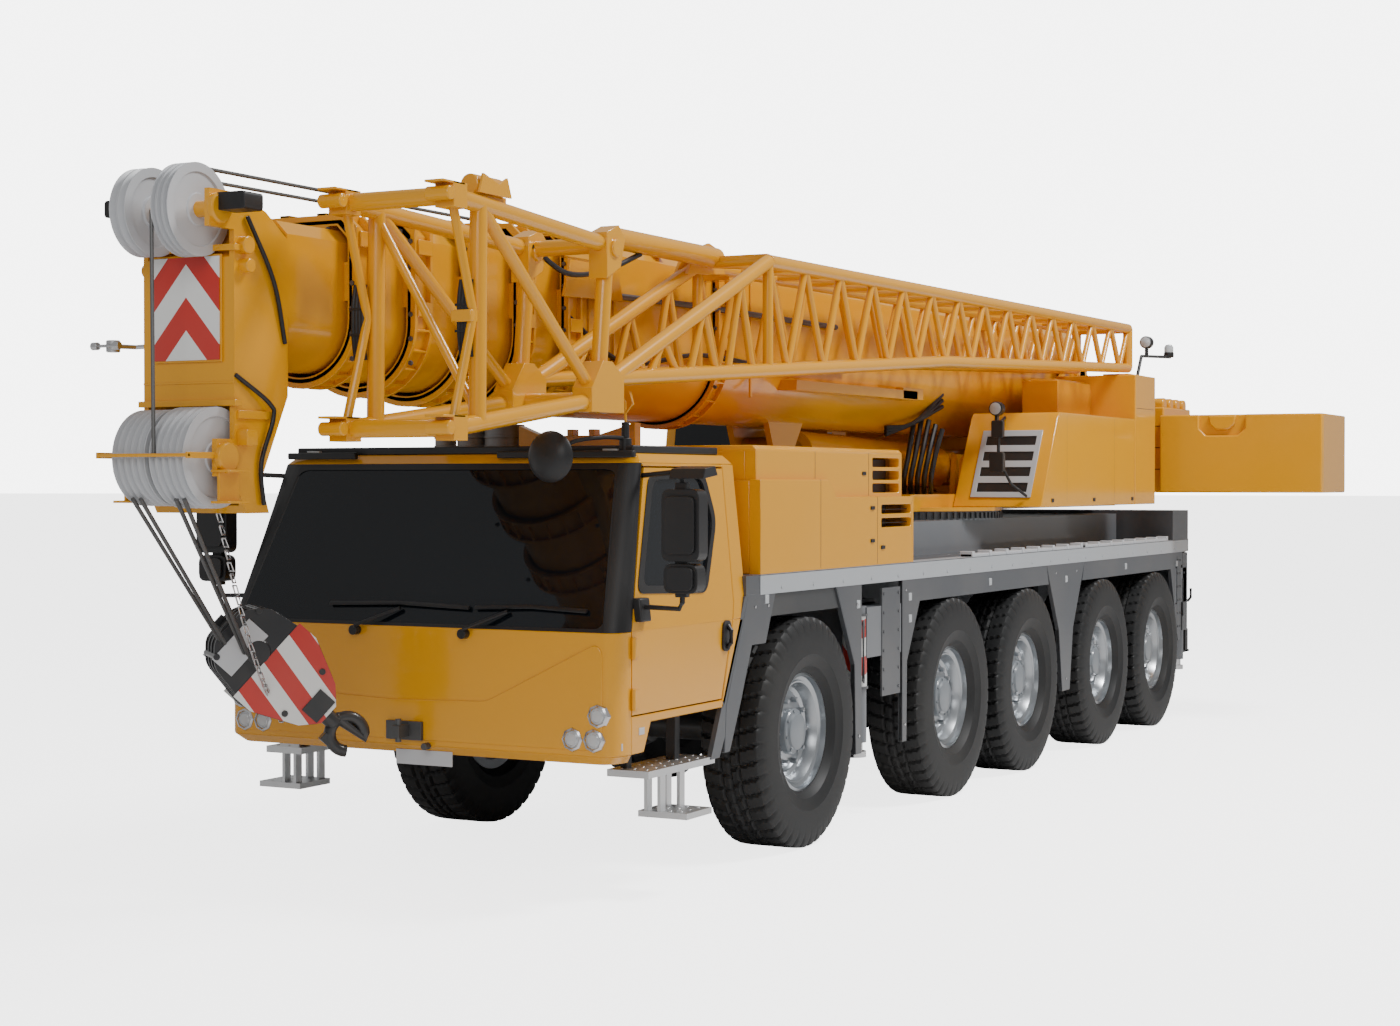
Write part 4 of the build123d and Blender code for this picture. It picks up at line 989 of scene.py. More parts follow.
@dataclass
class Hood:
    """Engine hood with its step, louvres, stacks and boom rest."""

    shop: Workshop
    top: float = 2.54
    stack_y: float = -0.45

    def louvres(self, along: tuple, heights: tuple) -> tuple:
        """Outlines of the air slots in one side wall."""
        return tuple(rounded(rectangle(along, (z, z + 0.062))[::-1], 0.015) for z in heights)

    def panels(self) -> None:
        """Painted hood: side walls with their louvres, top, end walls and boom rest."""
        lower = [(-0.64, 1.75), (1.82, 1.75), (1.82, 2.217), (0.49, 2.217), (0.38, 2.33), (-0.64, 2.33)]
        upper = rectangle((-0.62, 1.70), (2.20, 2.51))
        slots_low = self.louvres((1.24, 1.77), (2.006, 2.098))
        slots_top = self.louvres((1.18, 1.65), (2.243, 2.330, 2.418))
        parts = mirrored([prism(lower, 0, 1.25, HALF, slots_low), prism(upper, 0, 1.21, 1.289, slots_top)])
        parts.append(prism([(-1.289, 2.505), (-1.289, 2.515), (-1.262, 2.54), (1.262, 2.54), (1.289, 2.515),
                            (1.289, 2.505)], 1, -0.62, 1.70))
        parts += [slab((-1.252, 1.252), (-0.638, -0.60), (1.755, 2.325)),
                  slab((-1.212, 1.212), (-0.618, -0.58), (2.21, 2.508)),
                  slab((-1.252, 1.252), (1.78, 1.818), (1.755, 2.195)),
                  slab((-1.212, 1.212), (1.66, 1.698), (2.21, 2.508)),
                  slab((-1.252, 1.252), (1.66, 1.816), (2.19, 2.214))]
        for x in (-0.9, -0.3, 0.3, 0.9):
            parts += [slab((x - 0.22, x + 0.22), (1.70, 1.712), (z, z + 0.02))
                      for z in (2.26, 2.32, 2.38, 2.44)]
        rest = [(-0.465, 2.53), (-0.465, 2.68), (-0.29, 2.612), (0.12, 2.612), (0.398, 2.69), (0.398, 2.53)]
        parts.append(prism(rest, 1, -0.54, -0.46))
        parts += [slab((x - 0.022, x + 0.022), (-0.54, -0.46), (2.60, 2.652)) for x in (-0.08, 0.08)]
        parts += [slab((x - 0.35, x + 0.35), (y, y + 0.5), (2.54, 2.552))
                  for x, y in ((-0.6, 0.35), (0.6, 0.35), (0.6, 1.0))]
        self.shop.piece("hood_panels", parts, YELLOW, "engine_cover", 0.006, ("engine_cover",))

    def shade_fill_gaps_and_latches(self) -> None:
        """Dark block behind the louvres as painted shade of the engine room, thin dark strips in the lower
        slots, panel gaps and latches.
        """
        # Painted shade: a dark block filling the hood, seen through the louvres.
        dark = [slab((-1.20, 1.20), (-0.55, 1.62), (1.78, 2.47))]
        for z in (2.02, 2.112):
            dark += mirrored([slab((1.255, 1.30), (1.24, 1.77), (z + 0.012, z + 0.018))])
        dark += mirrored([slab((HALF - 0.002, HALF + 0.0008), (y - 0.003, y + 0.003), (1.76, z))
                          for y, z in ((0.24, 2.33), (1.17, 2.215))])
        dark += mirrored([slab((1.285, 1.2898), (y - 0.003, y + 0.003), (z, 2.51))
                          for y, z in ((0.24, 2.335), (1.11, 2.22))])
        dark += mirrored([slab((x, x + 0.012), (y - 0.03, y + 0.03), (z - 0.012, z + 0.012))
                          for x, y, z in ((1.283, 1.03, 2.373), (1.326, 1.08, 1.918), (1.326, 1.08, 2.14),
                                          (1.326, 1.26, 1.87))])
        self.shop.piece("hood_painted_shade_gaps_and_latches", dark, TRIM, "engine_cover", 0.002)

    def stacks(self) -> None:
        """Exhaust and intake stacks, hollow at the top, with their bands."""
        stacks = []
        for x, radius in ((-1.0925, 0.0715), (-0.8745, 0.1065), (-0.6285, 0.1315)):
            stacks.append(spun([(radius, 0.0), (radius, 0.145), (radius - 0.004, 0.15),
                                (radius - 0.009, 0.148), (radius - 0.009, 0.02), (CORE, 0.02), (CORE, 0.0)],
                               (x, self.stack_y, self.top), 2, 36))
            stacks += [spun([(radius, z), (radius + 0.006, z + 0.003), (radius + 0.006, z + 0.013),
                             (radius, z + 0.016)], (x, self.stack_y, self.top), 2, 36) for z in (0.0, 0.06)]
        self.shop.piece("exhaust_and_intake_stacks", stacks, STACK, "engine_cover", 0)

    def build(self) -> None:
        """Build the hood."""
        self.panels()
        self.shade_fill_gaps_and_latches()
        self.stacks()


@dataclass
class CarrierSides:
    """Light band, dark valances, marker lamps, deck rails, steps and striped jack sleeves."""

    shop: Workshop
    band: tuple = (1.63, 1.75)

    def light_band(self) -> None:
        """Light band along the deck's edge, with its screws."""
        low, high = self.band
        band = mirrored([slab((1.318, 1.334), (-0.65, 9.08), (low, high)),
                         slab((1.20, 1.334), (-0.65, 9.08), (high - 0.004, high + 0.002))])
        for y in np.arange(-0.35, 9.0, 0.47):
            band += mirrored([disc((1.334, y, low + 0.035), 0, 0.012, -0.004, 0.005, 6)])
        self.shop.piece("light_band", band, GREY_BAND, "side_panels", 0.004)

    def arches(self) -> None:
        """Dark valances over the wheels, and the posts that hang between them."""
        over_wheels = [
            [(2.03, 1.63), (4.72, 1.63), (4.78, 1.472), (1.93, 1.472)],
            [(5.735, 1.63), (8.345, 1.63), (8.45, 1.472), (5.64, 1.472)],
            [(-0.82, 1.63), (0.88, 1.63), (0.80, 1.49), (-0.70, 1.49)],
        ]
        valances = [prism(outline, 0, 1.295, 1.318) for outline in over_wheels]
        self.shop.piece("wheel_valances", mirrored(valances), FRAME, "side_panels", 0.003)
        posts = [
            [(-0.81, 1.64), (-0.43, 1.64), (-0.57, 1.33), (-0.76, 1.33), (-0.911, 1.0), (-1.056, 0.72),
             (-1.126, 0.72), (-1.106, 1.0)],
            [(0.48, 1.64), (0.78, 1.10), (0.80, 0.50), (0.90, 0.50), (0.90, 1.64)],
            [(1.61, 1.64), (2.03, 1.64), (1.70, 1.06), (1.69, 0.50), (1.61, 0.50)],
            [(4.72, 1.64), (5.735, 1.64), (5.42, 1.08), (5.33, 0.56), (5.13, 0.56), (5.04, 1.08)],
        ]
        faces = [prism(outline, 0, 1.30, 1.332) for outline in posts]
        self.shop.piece("arch_posts", mirrored(faces), GREY_POST, "side_panels", 0.005)

    def lamps_and_bolts(self) -> None:
        """Side marker lamps, and the bolts of the posts."""
        lamp_places = ((-0.56, 1.60), (0.84, 1.50), (1.75, 1.509), (1.752, 1.356), (3.38, 1.55),
                       (5.23, 1.50), (6.95, 1.55), (8.66, 1.52))
        lamps = [slab((1.318, 1.337), (y - 0.025, y + 0.025), (z - 0.028, z + 0.028))
                 for y, z in lamp_places]
        self.shop.piece("side_marker_lamps", mirrored(lamps), LAMP_GLASS, "side_panels", 0.004)
        bolt_places = ((-0.72, 1.56), (-0.54, 1.56), (0.82, 1.50), (0.85, 0.62), (1.67, 1.56), (1.65, 0.62),
                       (4.95, 1.56), (5.50, 1.56), (5.23, 0.66))
        bolts = [disc((1.332, y, z), 0, 0.011, -0.004, 0.006, 6) for y, z in bolt_places]
        self.shop.piece("post_bolts", mirrored(bolts), STEEL, "side_panels", 0)

    def deck_rails(self) -> None:
        """Bright rails on the deck's edges."""
        rails = []
        for front, rear in ((3.03, 5.73), (5.81, 8.40)):
            rails += mirrored([slab((1.22, 1.312), (front, rear), (1.75, 1.772))])
            rails += mirrored([slab((1.215, 1.318), (y, y + 0.05), (1.75, 1.792))
                               for y in np.linspace(front, rear - 0.05, 8)])
        self.shop.piece("deck_rails", rails, SHEAVE, "side_panels", 0.003)

    def steps(self) -> None:
        """Cab steps with their tread bumps and hangers."""
        steps = [slab((1.06, 1.325), (-2.04, -1.24), (0.675, 0.715)),
                 slab((1.18, 1.49), (-1.90, -1.60), (0.44, 0.475))]
        steps += [slab((x, x + 0.02), (y, y + 0.06), (0.46, 0.69)) for x in (1.215, 1.30)
                  for y in (-1.895, -1.665)]
        steps += [disc((x, y, z), 2, 0.009, -0.004, 0.003, 8) for x, y, z in
                  [(x, y, 0.475) for x in (1.22, 1.29, 1.36, 1.43) for y in (-1.85, -1.75, -1.65)]
                  + [(x, y, 0.715) for x in (1.12, 1.20, 1.28) for y in np.arange(-1.98, -1.25, 0.1)]]
        self.shop.piece("cab_steps", mirrored(steps), ALLOY, "access_steps", 0.003, ("access_steps",))
        hangers = [slab((1.14, 1.20), (-1.50, -1.44), (0.71, 0.99)),
                   slab((1.10, 1.14), (-1.96, -1.90), (0.71, 0.82))]
        self.shop.piece("step_hangers", mirrored(hangers), TRIM, "access_steps", 0.003)

    def outriggers(self) -> None:
        """Striped jack sleeves, their rims and the bolted end covers of the beams."""
        for end, y, (front, rear) in (("front", 1.0, (1.23, 1.59)), ("rear", 8.96, (8.66, 8.84))):
            for label, side in (("left", 1), ("right", -1)):
                node = f"outrigger_beam_{end}_{label}"
                sleeve = hoop((0.083, 0.072), 0.245, (side * 1.235, y, 1.175), 2)
                self.shop.piece(f"jack_sleeve_{end}_{label}", [sleeve], JACK_STRIPES, node, 0.002)
                rims = [hoop((0.092, 0.07), 0.008, (side * 1.235, y, z), 2) for z in (0.93, 1.42)]
                plate = [slab((1.318, 1.331), (front + 0.02, rear - 0.02), (0.85, 1.59))]
                plate += [disc((1.331, bolt, z), 0, 0.012, -0.003, 0.006, 6)
                          for bolt in (front + 0.05, rear - 0.05) for z in np.linspace(0.9, 1.55, 6)]
                plate += [tube([(1.30, y, 0.95), (1.326, y - 0.06, 1.0), (1.326, y - 0.06, 1.35),
                                (1.30, y, 1.4)], 0.010)]
                self.shop.piece(f"jack_fittings_{end}_{label}", rims + on_side(plate, side), GREY_POST,
                                node, 0.003)

    def tail(self) -> None:
        """Boxes, lamps and brackets at the carrier's rear."""
        rear = mirrored([slab((1.24, 1.325), (8.90, 9.08), (0.85, 1.62)),
                         slab((1.0, 1.3), (9.06, 9.12), (1.62, 1.75))])
        self.shop.piece("rear_boxes", rear, GREY_POST, "side_panels", 0.005)
        tails = mirrored([slab((1.06, 1.30), (9.08, 9.13), (1.50, 1.60))])
        tails += mirrored([disc((x, 9.13, 1.55), 1, 0.035, -0.005, 0.012) for x in (1.10, 1.18, 1.26)])
        self.shop.piece("tail_lamps", tails, TAIL_LAMP, "side_panels", 0.003)
        crank = [tube([(1.26, 8.9, 1.15), (1.30, 9.2, 1.13), (1.30, 9.3, 1.16), (1.30, 9.3, 1.25)], 0.014),
                 slab((1.0, 1.3), (9.0, 9.25), (0.62, 0.64)), slab((1.26, 1.30), (9.1, 9.2), (0.62, 0.85))]
        self.shop.piece("rear_brackets", crank, TRIM, "side_panels", 0.003)

    def slew_ring(self) -> None:
        """Teeth round the slew ring."""
        tooth, faces = slab((-0.012, 0.012), (-0.02, 0.0), (0, 0.05))
        ring = []
        for angle in np.linspace(0, 2 * np.pi, 96, endpoint=False):
            turn = np.array(((math.cos(angle), -math.sin(angle)), (math.sin(angle), math.cos(angle))))
            points = tooth + (0, -0.915, 2.02)
            points[:, :2] = points[:, :2] @ turn.T + (0, 4.6)
            ring.append((points, faces))
        self.shop.piece("slew_ring_teeth", ring, FRAME, "side_panels", 0)

    def build(self) -> None:
        """Build the carrier's dressing."""
        self.light_band()
        self.arches()
        self.lamps_and_bolts()
        self.deck_rails()
        self.steps()
        self.outriggers()
        self.tail()
        self.slew_ring()


@dataclass
class Superstructure:
    """Machinery covers, tower, ballast, crane cab windows, hoses and lamps on the turntable."""

    shop: Workshop

    def slant(self, points: np.ndarray) -> np.ndarray:
        """Points drawn against an upright plate, Y negative outwards, put on the slanting front."""
        points[:, 1] += 4.58 + (points[:, 2] - 2.111) * 0.43 / 0.749
        return points

    def covers(self) -> None:
        """Covers with their slanting louvred fronts and towers, a dark plate behind the louvres as painted
        shade, gaps and latches.
        """
        side = [(4.58, 2.111), (7.23, 2.111), (7.23, 2.90), (5.06, 2.90), (5.01, 2.86)]
        parts = [prism(side, 0, 0.562, HALF), slab((0.562, HALF), (7.25, 7.90), (2.111, 3.31)),
                 slab((0.562, 1.27), (7.22, 7.26), (2.17, 2.80)),
                 slab((0.562, 0.90), (6.30, 7.255), (2.89, 3.23))]
        parts += [slab((1.0, 1.25), (7.30, 7.85), (3.31, 3.325)),
                  slab((0.62, 0.86), (6.36, 7.2), (3.23, 3.245))]
        self.shop.piece("machinery_covers", mirrored(parts), YELLOW, "machinery_housing", 0.018,
                        ("machinery_housing",))
        slots = tuple(rectangle((0.745, 1.18), (z, z + 0.075))[::-1] for z in (2.235, 2.365, 2.495, 2.625))
        grille = moved(prism(rectangle((0.70, 1.225), (2.19, 2.75)), 1, -0.014, -0.001, slots), self.slant)
        self.shop.piece("grille_frames", mirrored([grille]), GREY_BAND, "machinery_housing", 0.004)
        # Painted shade: a dark plate right behind the grille's slots.
        dark = [moved(slab((0.72, 1.205), (-0.005, 0.001), (2.20, 2.74)), self.slant)]
        dark += [slab((1.327, 1.3305), (y, y + 0.003), (2.15, 2.88)) for y in (5.25, 6.6)]
        dark += [slab((1.325, 1.335), (y - 0.03, y + 0.03), (2.15, 2.18)) for y in (4.87, 6.0, 7.15)]
        dark += [slab((1.325, 1.332), (7.29, 7.86), (3.0, 3.003))]
        self.shop.piece("cover_painted_shade_gaps_and_latches", mirrored(dark), TRIM, "machinery_housing", 0.001)

    def mirrors_and_lamps(self) -> None:
        """Rear-view mirrors, work lamps and beacon on their stalks."""
        mirror = [tube([(1.02, 4.42, 2.43), (1.02, 4.42, 2.80)], 0.014),
                  prism(rounded(rectangle((0.97, 1.07), (2.68, 2.82)), 0.02), 1, 4.38, 4.43),
                  prism(rounded(rectangle((0.96, 1.08), (2.40, 2.56)), 0.02), 1, 4.36, 4.42),
                  tube([(1.02, 4.42, 2.50), (1.10, 4.5, 2.30), (1.20, 4.6, 2.2)], 0.012)]
        self.shop.piece("rear_view_mirrors", mirror, MIRROR_BLACK, "machinery_housing", 0.005)
        lamps, housings = [], []
        for x, y, z in ((0.86, 4.80, 2.93), (1.18, 8.10, 3.66), (-0.86, 4.80, 2.93)):
            housings += [disc((x, y, z), 1, 0.06, -0.02, 0.07),
                         slab((x - 0.012, x + 0.012), (y, y + 0.05), (z - 0.14, z - 0.04))]
            lamps.append(spun([(CORE, -0.03), (0.03, -0.028), (0.05, -0.02), (CORE, -0.01)], (x, y, z), 1,
                              24))
        housings += [tube([(1.18, 7.8, 3.3), (1.18, 7.95, 3.52), (1.18, 8.94, 3.56)], 0.016),
                     tube([(1.18, 8.10, 3.53), (1.18, 8.1, 3.62)], 0.012),
                     tube([(0.86, 4.86, 2.80), (0.86, 5.02, 2.86)], 0.014),
                     tube([(-0.86, 4.86, 2.80), (-0.86, 5.02, 2.86)], 0.014),
                     disc((1.18, 8.9, 3.585), 2, 0.05, -0.03, 0.02)]
        lamps.append(spun([(CORE, 0.0), (0.045, 0.0), (0.045, 0.05), (0.03, 0.075), (CORE, 0.08)],
                          (1.18, 8.9, 3.605), 2, 24))
        self.shop.piece("work_lamp_housings", housings, TRIM, "machinery_housing", 0.002)
        self.shop.piece("work_lamp_lenses", lamps, LAMP_GLASS, "machinery_housing", 0)

    def hoses_and_pins(self) -> None:
        """Hoses of the luffing cylinder, and the capped pins of boom and cylinder."""
        hoses = [hose([(x, 4.5, 2.75 + 0.04 * index), (x, 4.35, 2.55), (x - 0.02, 4.3, 2.35),
                       (x - 0.1, 4.5, 2.2)], 0.022)
                 for index, x in enumerate((0.50, 0.44, 0.38, 0.32, 0.26))]
        hoses += [hose([(0.42, 4.7, 2.95 + 0.05 * index), (0.36, 4.2, 2.8),
                        (0.24, 3.9, 2.7 + 0.03 * index)], 0.018) for index in range(3)]
        self.shop.piece("cylinder_hoses", hoses, TRIM, "turntable", 0)
        pins = mirrored([disc((0.54, y, z), 0, r, -0.01, 0.045)
                         for y, z, r in ((8.0, 3.35, 0.15), (8.0, 3.35, 0.085), (5.6, 2.45, 0.13))])
        pins += mirrored([disc((0.54, 8.0 + 0.12 * math.cos(a), 3.35 + 0.12 * math.sin(a)), 0, 0.014, 0.03,
                               0.055, 6) for a in np.arange(8) * np.pi / 4])
        self.shop.piece("pivot_pin_caps", pins, YELLOW, "turntable", 0.003)

    def ballast(self) -> None:
        """Ballast slabs with their hand pockets, seams and lifting lugs."""
        parts = [slab((-1.25, 1.25), (8.48, 9.45), (2.216, 3.05))]
        seams = []
        for side in (1, -1):
            notch = [(2.80, 2.216), (1.25, 2.216), (1.25, 2.965), (1.635, 2.965), (1.635, 2.83),
                     (1.70, 2.765), (2.0, 2.765), (2.076, 2.83), (2.076, 2.965), (2.80, 2.965)]
            lug = [(1.72, 2.955), (1.735, 2.87), (1.79, 2.82), (1.92, 2.82), (1.975, 2.87), (1.99, 2.955)]
            wing = slab((1.25, 2.80), (8.377, 9.39), (2.216, 2.965))
            parts += on_side([prism(notch, 1, 8.33, 8.378), wing, prism(lug, 1, 8.335, 8.385)], side)
            for index in range(4):
                y = 8.50 + index * 0.235
                lug_side = [(y, 3.04), (y + 0.13, 3.04), (y + 0.13, 3.10), (y + 0.10, 3.14),
                            (y + 0.03, 3.14), (y, 3.10)]
                parts += on_side([prism(lug_side, 0, 1.14, 1.24)], side)
        for z in (2.44, 2.65, 2.86):
            seams += mirrored([slab((1.24, 1.2508), (8.479, 9.4498), (z, z + 0.008))])
            seams += [slab((-1.24, 1.24), y, (z, z + 0.008)) for y in ((8.4785, 8.482), (9.448, 9.4498))]
        self.shop.piece("ballast_slabs", parts, YELLOW, "counterweight", 0.014, ("counterweight",))
        self.shop.piece("ballast_seams", seams, TRIM, "counterweight", 0)

    def crane_cab(self) -> None:
        """Window panes of the crane driver's cab."""
        side_window = rounded([(3.40, 2.60), (3.50, 3.30), (4.42, 3.30), (4.42, 2.60)], 0.05)
        inner_window = rounded([(3.40, 2.75), (3.48, 3.30), (4.05, 3.30), (4.05, 2.75)], 0.05)
        front, faces = prism(rectangle((-1.25, -0.66), (2.52, 3.34)), 1, -0.012, -0.004)
        front[:, 1] += 3.05 + (front[:, 2] - 2.475) * 0.17
        panes = [prism(side_window, 0, -1.346, -1.338), prism(inner_window, 0, -0.577, -0.57),
                 (front, faces)]
        self.shop.piece("crane_cab_panes", panes, DARK_GLASS, "crane_cab", 0)

    def build(self) -> None:
        """Build the superstructure's dressing."""
        self.covers()
        self.mirrors_and_lamps()
        self.hoses_and_pins()
        self.ballast()
        self.crane_cab()


@dataclass
class Boom:
    """Collars, eyes, head, sheaves, ropes and fittings of the telescopic boom."""

    shop: Workshop
    middle: float = 3.25
    step: float = 0.064
    head_half: float = 0.2835
    head_front: float = -4.28
    guard: float = -4.61

    def outline(self, width: float, height: float, steps: int = 20) -> list:
        """Section outline: chamfered top, straight sides and a half-round underside.

        Args:
            width: its width.
            height: its height.
            steps: stretches of the half round.

        Returns:
            Corners (X, Z).
        """
        half, top, low = width / 2, self.middle + height / 2, self.middle + width / 2 - height / 2
        arc = [(half * math.cos(a), low - half * math.sin(a)) for a in np.linspace(0, math.pi, steps + 1)]
        return [(-half, top - 0.07), (0.07 - half, top), (half - 0.07, top), (half, top - 0.07)] + arc

    def collars(self) -> None:
        """Two-rimmed collars with gussets and slide pads on every section's mouth."""
        for index in range(5):
            width, height = 0.88 - index * self.step, 1.06 - index * self.step
            node = "boom_base" if index == 0 else f"boom_section_{index}"
            fronts = [-1.5 - 0.475 * index] + ([0.45] if index == 0 else [])
            parts, bolts = [], []
            hole = self.outline(width - 0.008, height - 0.008)[::-1]
            for front in fronts:
                for y in (front, front + 0.144):
                    parts.append(prism(self.outline(width + 0.096, height + 0.096), 1, y, y + 0.026,
                                       (hole,)))
                parts.append(prism(self.outline(width + 0.042, height + 0.042), 1, front + 0.005,
                                   front + 0.164, (hole,)))
                centre = self.middle + width / 2 - height / 2
                for angle in np.radians(np.arange(-85, 86, 17)):
                    gusset = slab((-0.007, 0.007), (front + 0.01, front + 0.16),
                                  (-width / 2 - 0.045, -width / 2 + 0.005))
                    turn = np.array(((math.cos(angle), math.sin(angle)),
                                     (-math.sin(angle), math.cos(angle))))
                    points = np.array(gusset[0])
                    points[:, [0, 2]] = points[:, [0, 2]] @ turn.T + (0, centre)
                    parts.append((points, gusset[1]))
                top = self.middle + height / 2
                parts += mirrored([slab((0.09, 0.15), (front + 0.02, front + 0.15), (top, top + 0.062)),
                                   slab((0.22, 0.27), (front + 0.02, front + 0.15), (top, top + 0.055)),
                                   slab((width / 2, width / 2 + 0.06), (front + 0.02, front + 0.15),
                                        (self.middle + 0.28, self.middle + 0.36)),
                                   slab((width / 2, width / 2 + 0.055), (front + 0.02, front + 0.15),
                                        (self.middle - 0.05, self.middle + 0.03))])
                bolts += mirrored([disc((x, front, top - 0.03), 1, 0.016, -0.012, 0.005, 6)
                                   for x in (0.06, 0.18, 0.30)])
                bolts += mirrored([disc((width / 2 + 0.02, front, z), 1, 0.014, -0.012, 0.005, 6)
                                   for z in np.linspace(2.95, 3.6, 6)])
            self.shop.piece(f"collar_rims_{index}", parts, YELLOW, node, 0.003)
            self.shop.piece(f"collar_bolts_{index}", bolts, CAST, node, 0)

    def base(self) -> None:
        """Lifting eyes, ledge, handrails, hydraulic tube and hoses along the base section."""
        top = self.middle + 0.53
        parts = []
        for y in (1.40, 2.45, 4.30):
            parts.append(prism([(y - 0.17, top - 0.002), (y + 0.17, top - 0.002), (y + 0.12, top + 0.03),
                                (y - 0.12, top + 0.03)], 0, -0.03, 0.03))
            for middle in (y - 0.055, y + 0.055):
                parts.append(hoop((0.045, 0.024), 0.014, (0, middle, top + 0.019), 0, 20))
        parts += [slab((0.36, 0.55), (1.54, 3.83), (2.97, 3.045)),
                  slab((0.48, 0.55), (3.53, 3.95), (2.975, 3.065))]
        parts += [slab((0.435, 0.452), (y, y + 0.02), (2.9, 3.7)) for y in (-1.2, -0.9, 1.0)]
        parts += mirrored([slab((0.30, 0.46), (y, y + 0.10), (3.76, 3.82))
                           for y in (-1.2, -0.3, 0.9, 2.0, 3.2)])
        parts += [disc((0.30, y, 3.80), 1, 0.035, -0.08, 0.08) for y in (-0.9, -0.6, 0.0)]
        parts += [slab((-0.12, 0.12), (-0.95, -0.2), (top, top + 0.04)),
                  disc((-0.2, -0.7, 3.79), 0, 0.05, -0.02, 0.4)]
        self.shop.piece("boom_eyes_and_ledge", parts, YELLOW, "boom_base", 0.005)
        rails = [tube([(0.38, a, 3.66), (0.38, a, 3.80), (0.38, a + 0.06, 3.828), (0.38, b - 0.06, 3.828),
                       (0.38, b, 3.80), (0.38, b, 3.66)], 0.013) for a, b in ((3.4, 4.6), (4.65, 5.55))]
        rails += [rod((0.38, y, 3.66), (0.38, y, 3.825), 0.010) for y in (3.8, 4.2, 5.1)]
        rails += [tube([(0.47, -1.3, 3.45), (0.47, 0.2, 3.47), (0.47, 2.4, 3.47)], 0.02)]
        self.shop.piece("boom_handrails", rails, ROPE, "boom_base", 0)
        lines = [hose([(0.45, -1.45, 3.3), (0.475, -0.8, 3.05), (0.47, 0.2, 3.15), (0.46, 1.4, 3.12),
                       (0.46, 2.6, 3.15)], 0.016)]
        self.shop.piece("boom_hoses", lines, TRIM, "boom_base", 0)

    def head(self) -> None:
        """Guards and side brackets of the head, and its chevron boards."""
        half, front, guard = self.head_half, self.head_front, self.guard
        parts = []
        for z in (2.21, 2.36):
            parts += mirrored([slab((half - 0.03, half + 0.075), (-4.42, front + 0.02), (z, z + 0.012))])
        parts += mirrored([slab((half - 0.014, half), (guard - 0.01, front + 0.01), (2.425, 2.455)),
                           slab((half, half + 0.014), (-4.41, front + 0.02), (2.21, 2.372)),
                           slab((half - 0.01, half + 0.06), (front + 0.02, front + 0.10), (2.49, 2.565)),
                           slab((half - 0.002, half + 0.012), (front + 0.02, front + 0.32), (2.62, 2.66)),
                           disc((half, front + 0.07, 3.46), 0, 0.045, -0.01, 0.04),
                           disc((half, front + 0.07, 3.36), 0, 0.035, -0.01, 0.05),
                           disc((half, -4.40, 3.62), 0, 0.075, -0.01, 0.03),
                           disc((half, -4.35, 2.43), 0, 0.075, -0.01, 0.03)])
        parts += [rod((-half, guard, 2.44), (half, guard, 2.44), 0.009),
                  slab((-half, half), (front - 0.004, front), (2.79, 2.80)),
                  slab((-0.215, 0.215), (front - 0.012, front), (2.895, 3.415))]
        parts += [slab((-half - 0.02, half + 0.02), (front - 0.02, front + 0.03), (z, z + 0.03))
                  for z in (2.68, 3.43)]
        self.shop.piece("head_brackets", parts, YELLOW, HEAD, 0.004)
        for label, x, finish in (("left", (0.0, 0.205), CHEVRON_LEFT),
                                 ("right", (-0.205, 0.0), CHEVRON_RIGHT)):
            self.shop.piece(f"chevron_board_{label}",
                            [slab(x, (front - 0.018, front - 0.011), (2.905, 3.405))], finish, HEAD, 0)

    def head_fittings(self) -> None:
        """Lamps, hoses and wind gauge of the head."""
        lamps = [prism(rounded(rectangle(x, (3.605, 3.69)), 0.02), 1, -4.43, -4.29)
                 for x in ((-0.40, -0.29), (0.29, 0.47))]
        lamps += [hose([(0.29, -4.28, 2.83), (0.31, -4.05, 2.70), (0.31, -4.02, 2.62), (0.30, -4.10, 2.40),
                        (0.30, -4.08, 2.2)], 0.012),
                  hose([(0.30, -4.2, 3.6), (0.30, -4.0, 3.3), (0.29, -3.9, 3.0)], 0.012)]
        self.shop.piece("head_lamps_and_hoses", lamps, TRIM, HEAD, 0.003)
        gauge = [tube([(-0.28, -4.10, 3.0), (-0.45, -4.15, 2.99), (-0.50, -4.3, 2.99)], 0.012),
                 disc((-0.50, -4.26, 2.99), 2, 0.035, -0.03, 0.03),
                 tube([(-0.44, -4.3, 2.99), (-0.58, -4.3, 2.99)], 0.008),
                 disc((-0.58, -4.3, 2.99), 0, 0.02, -0.02, 0.02, 12),
                 disc((-0.44, -4.3, 2.99), 0, 0.02, -0.02, 0.02, 12)]
        self.shop.piece("wind_gauge", gauge, STEEL, HEAD, 0)

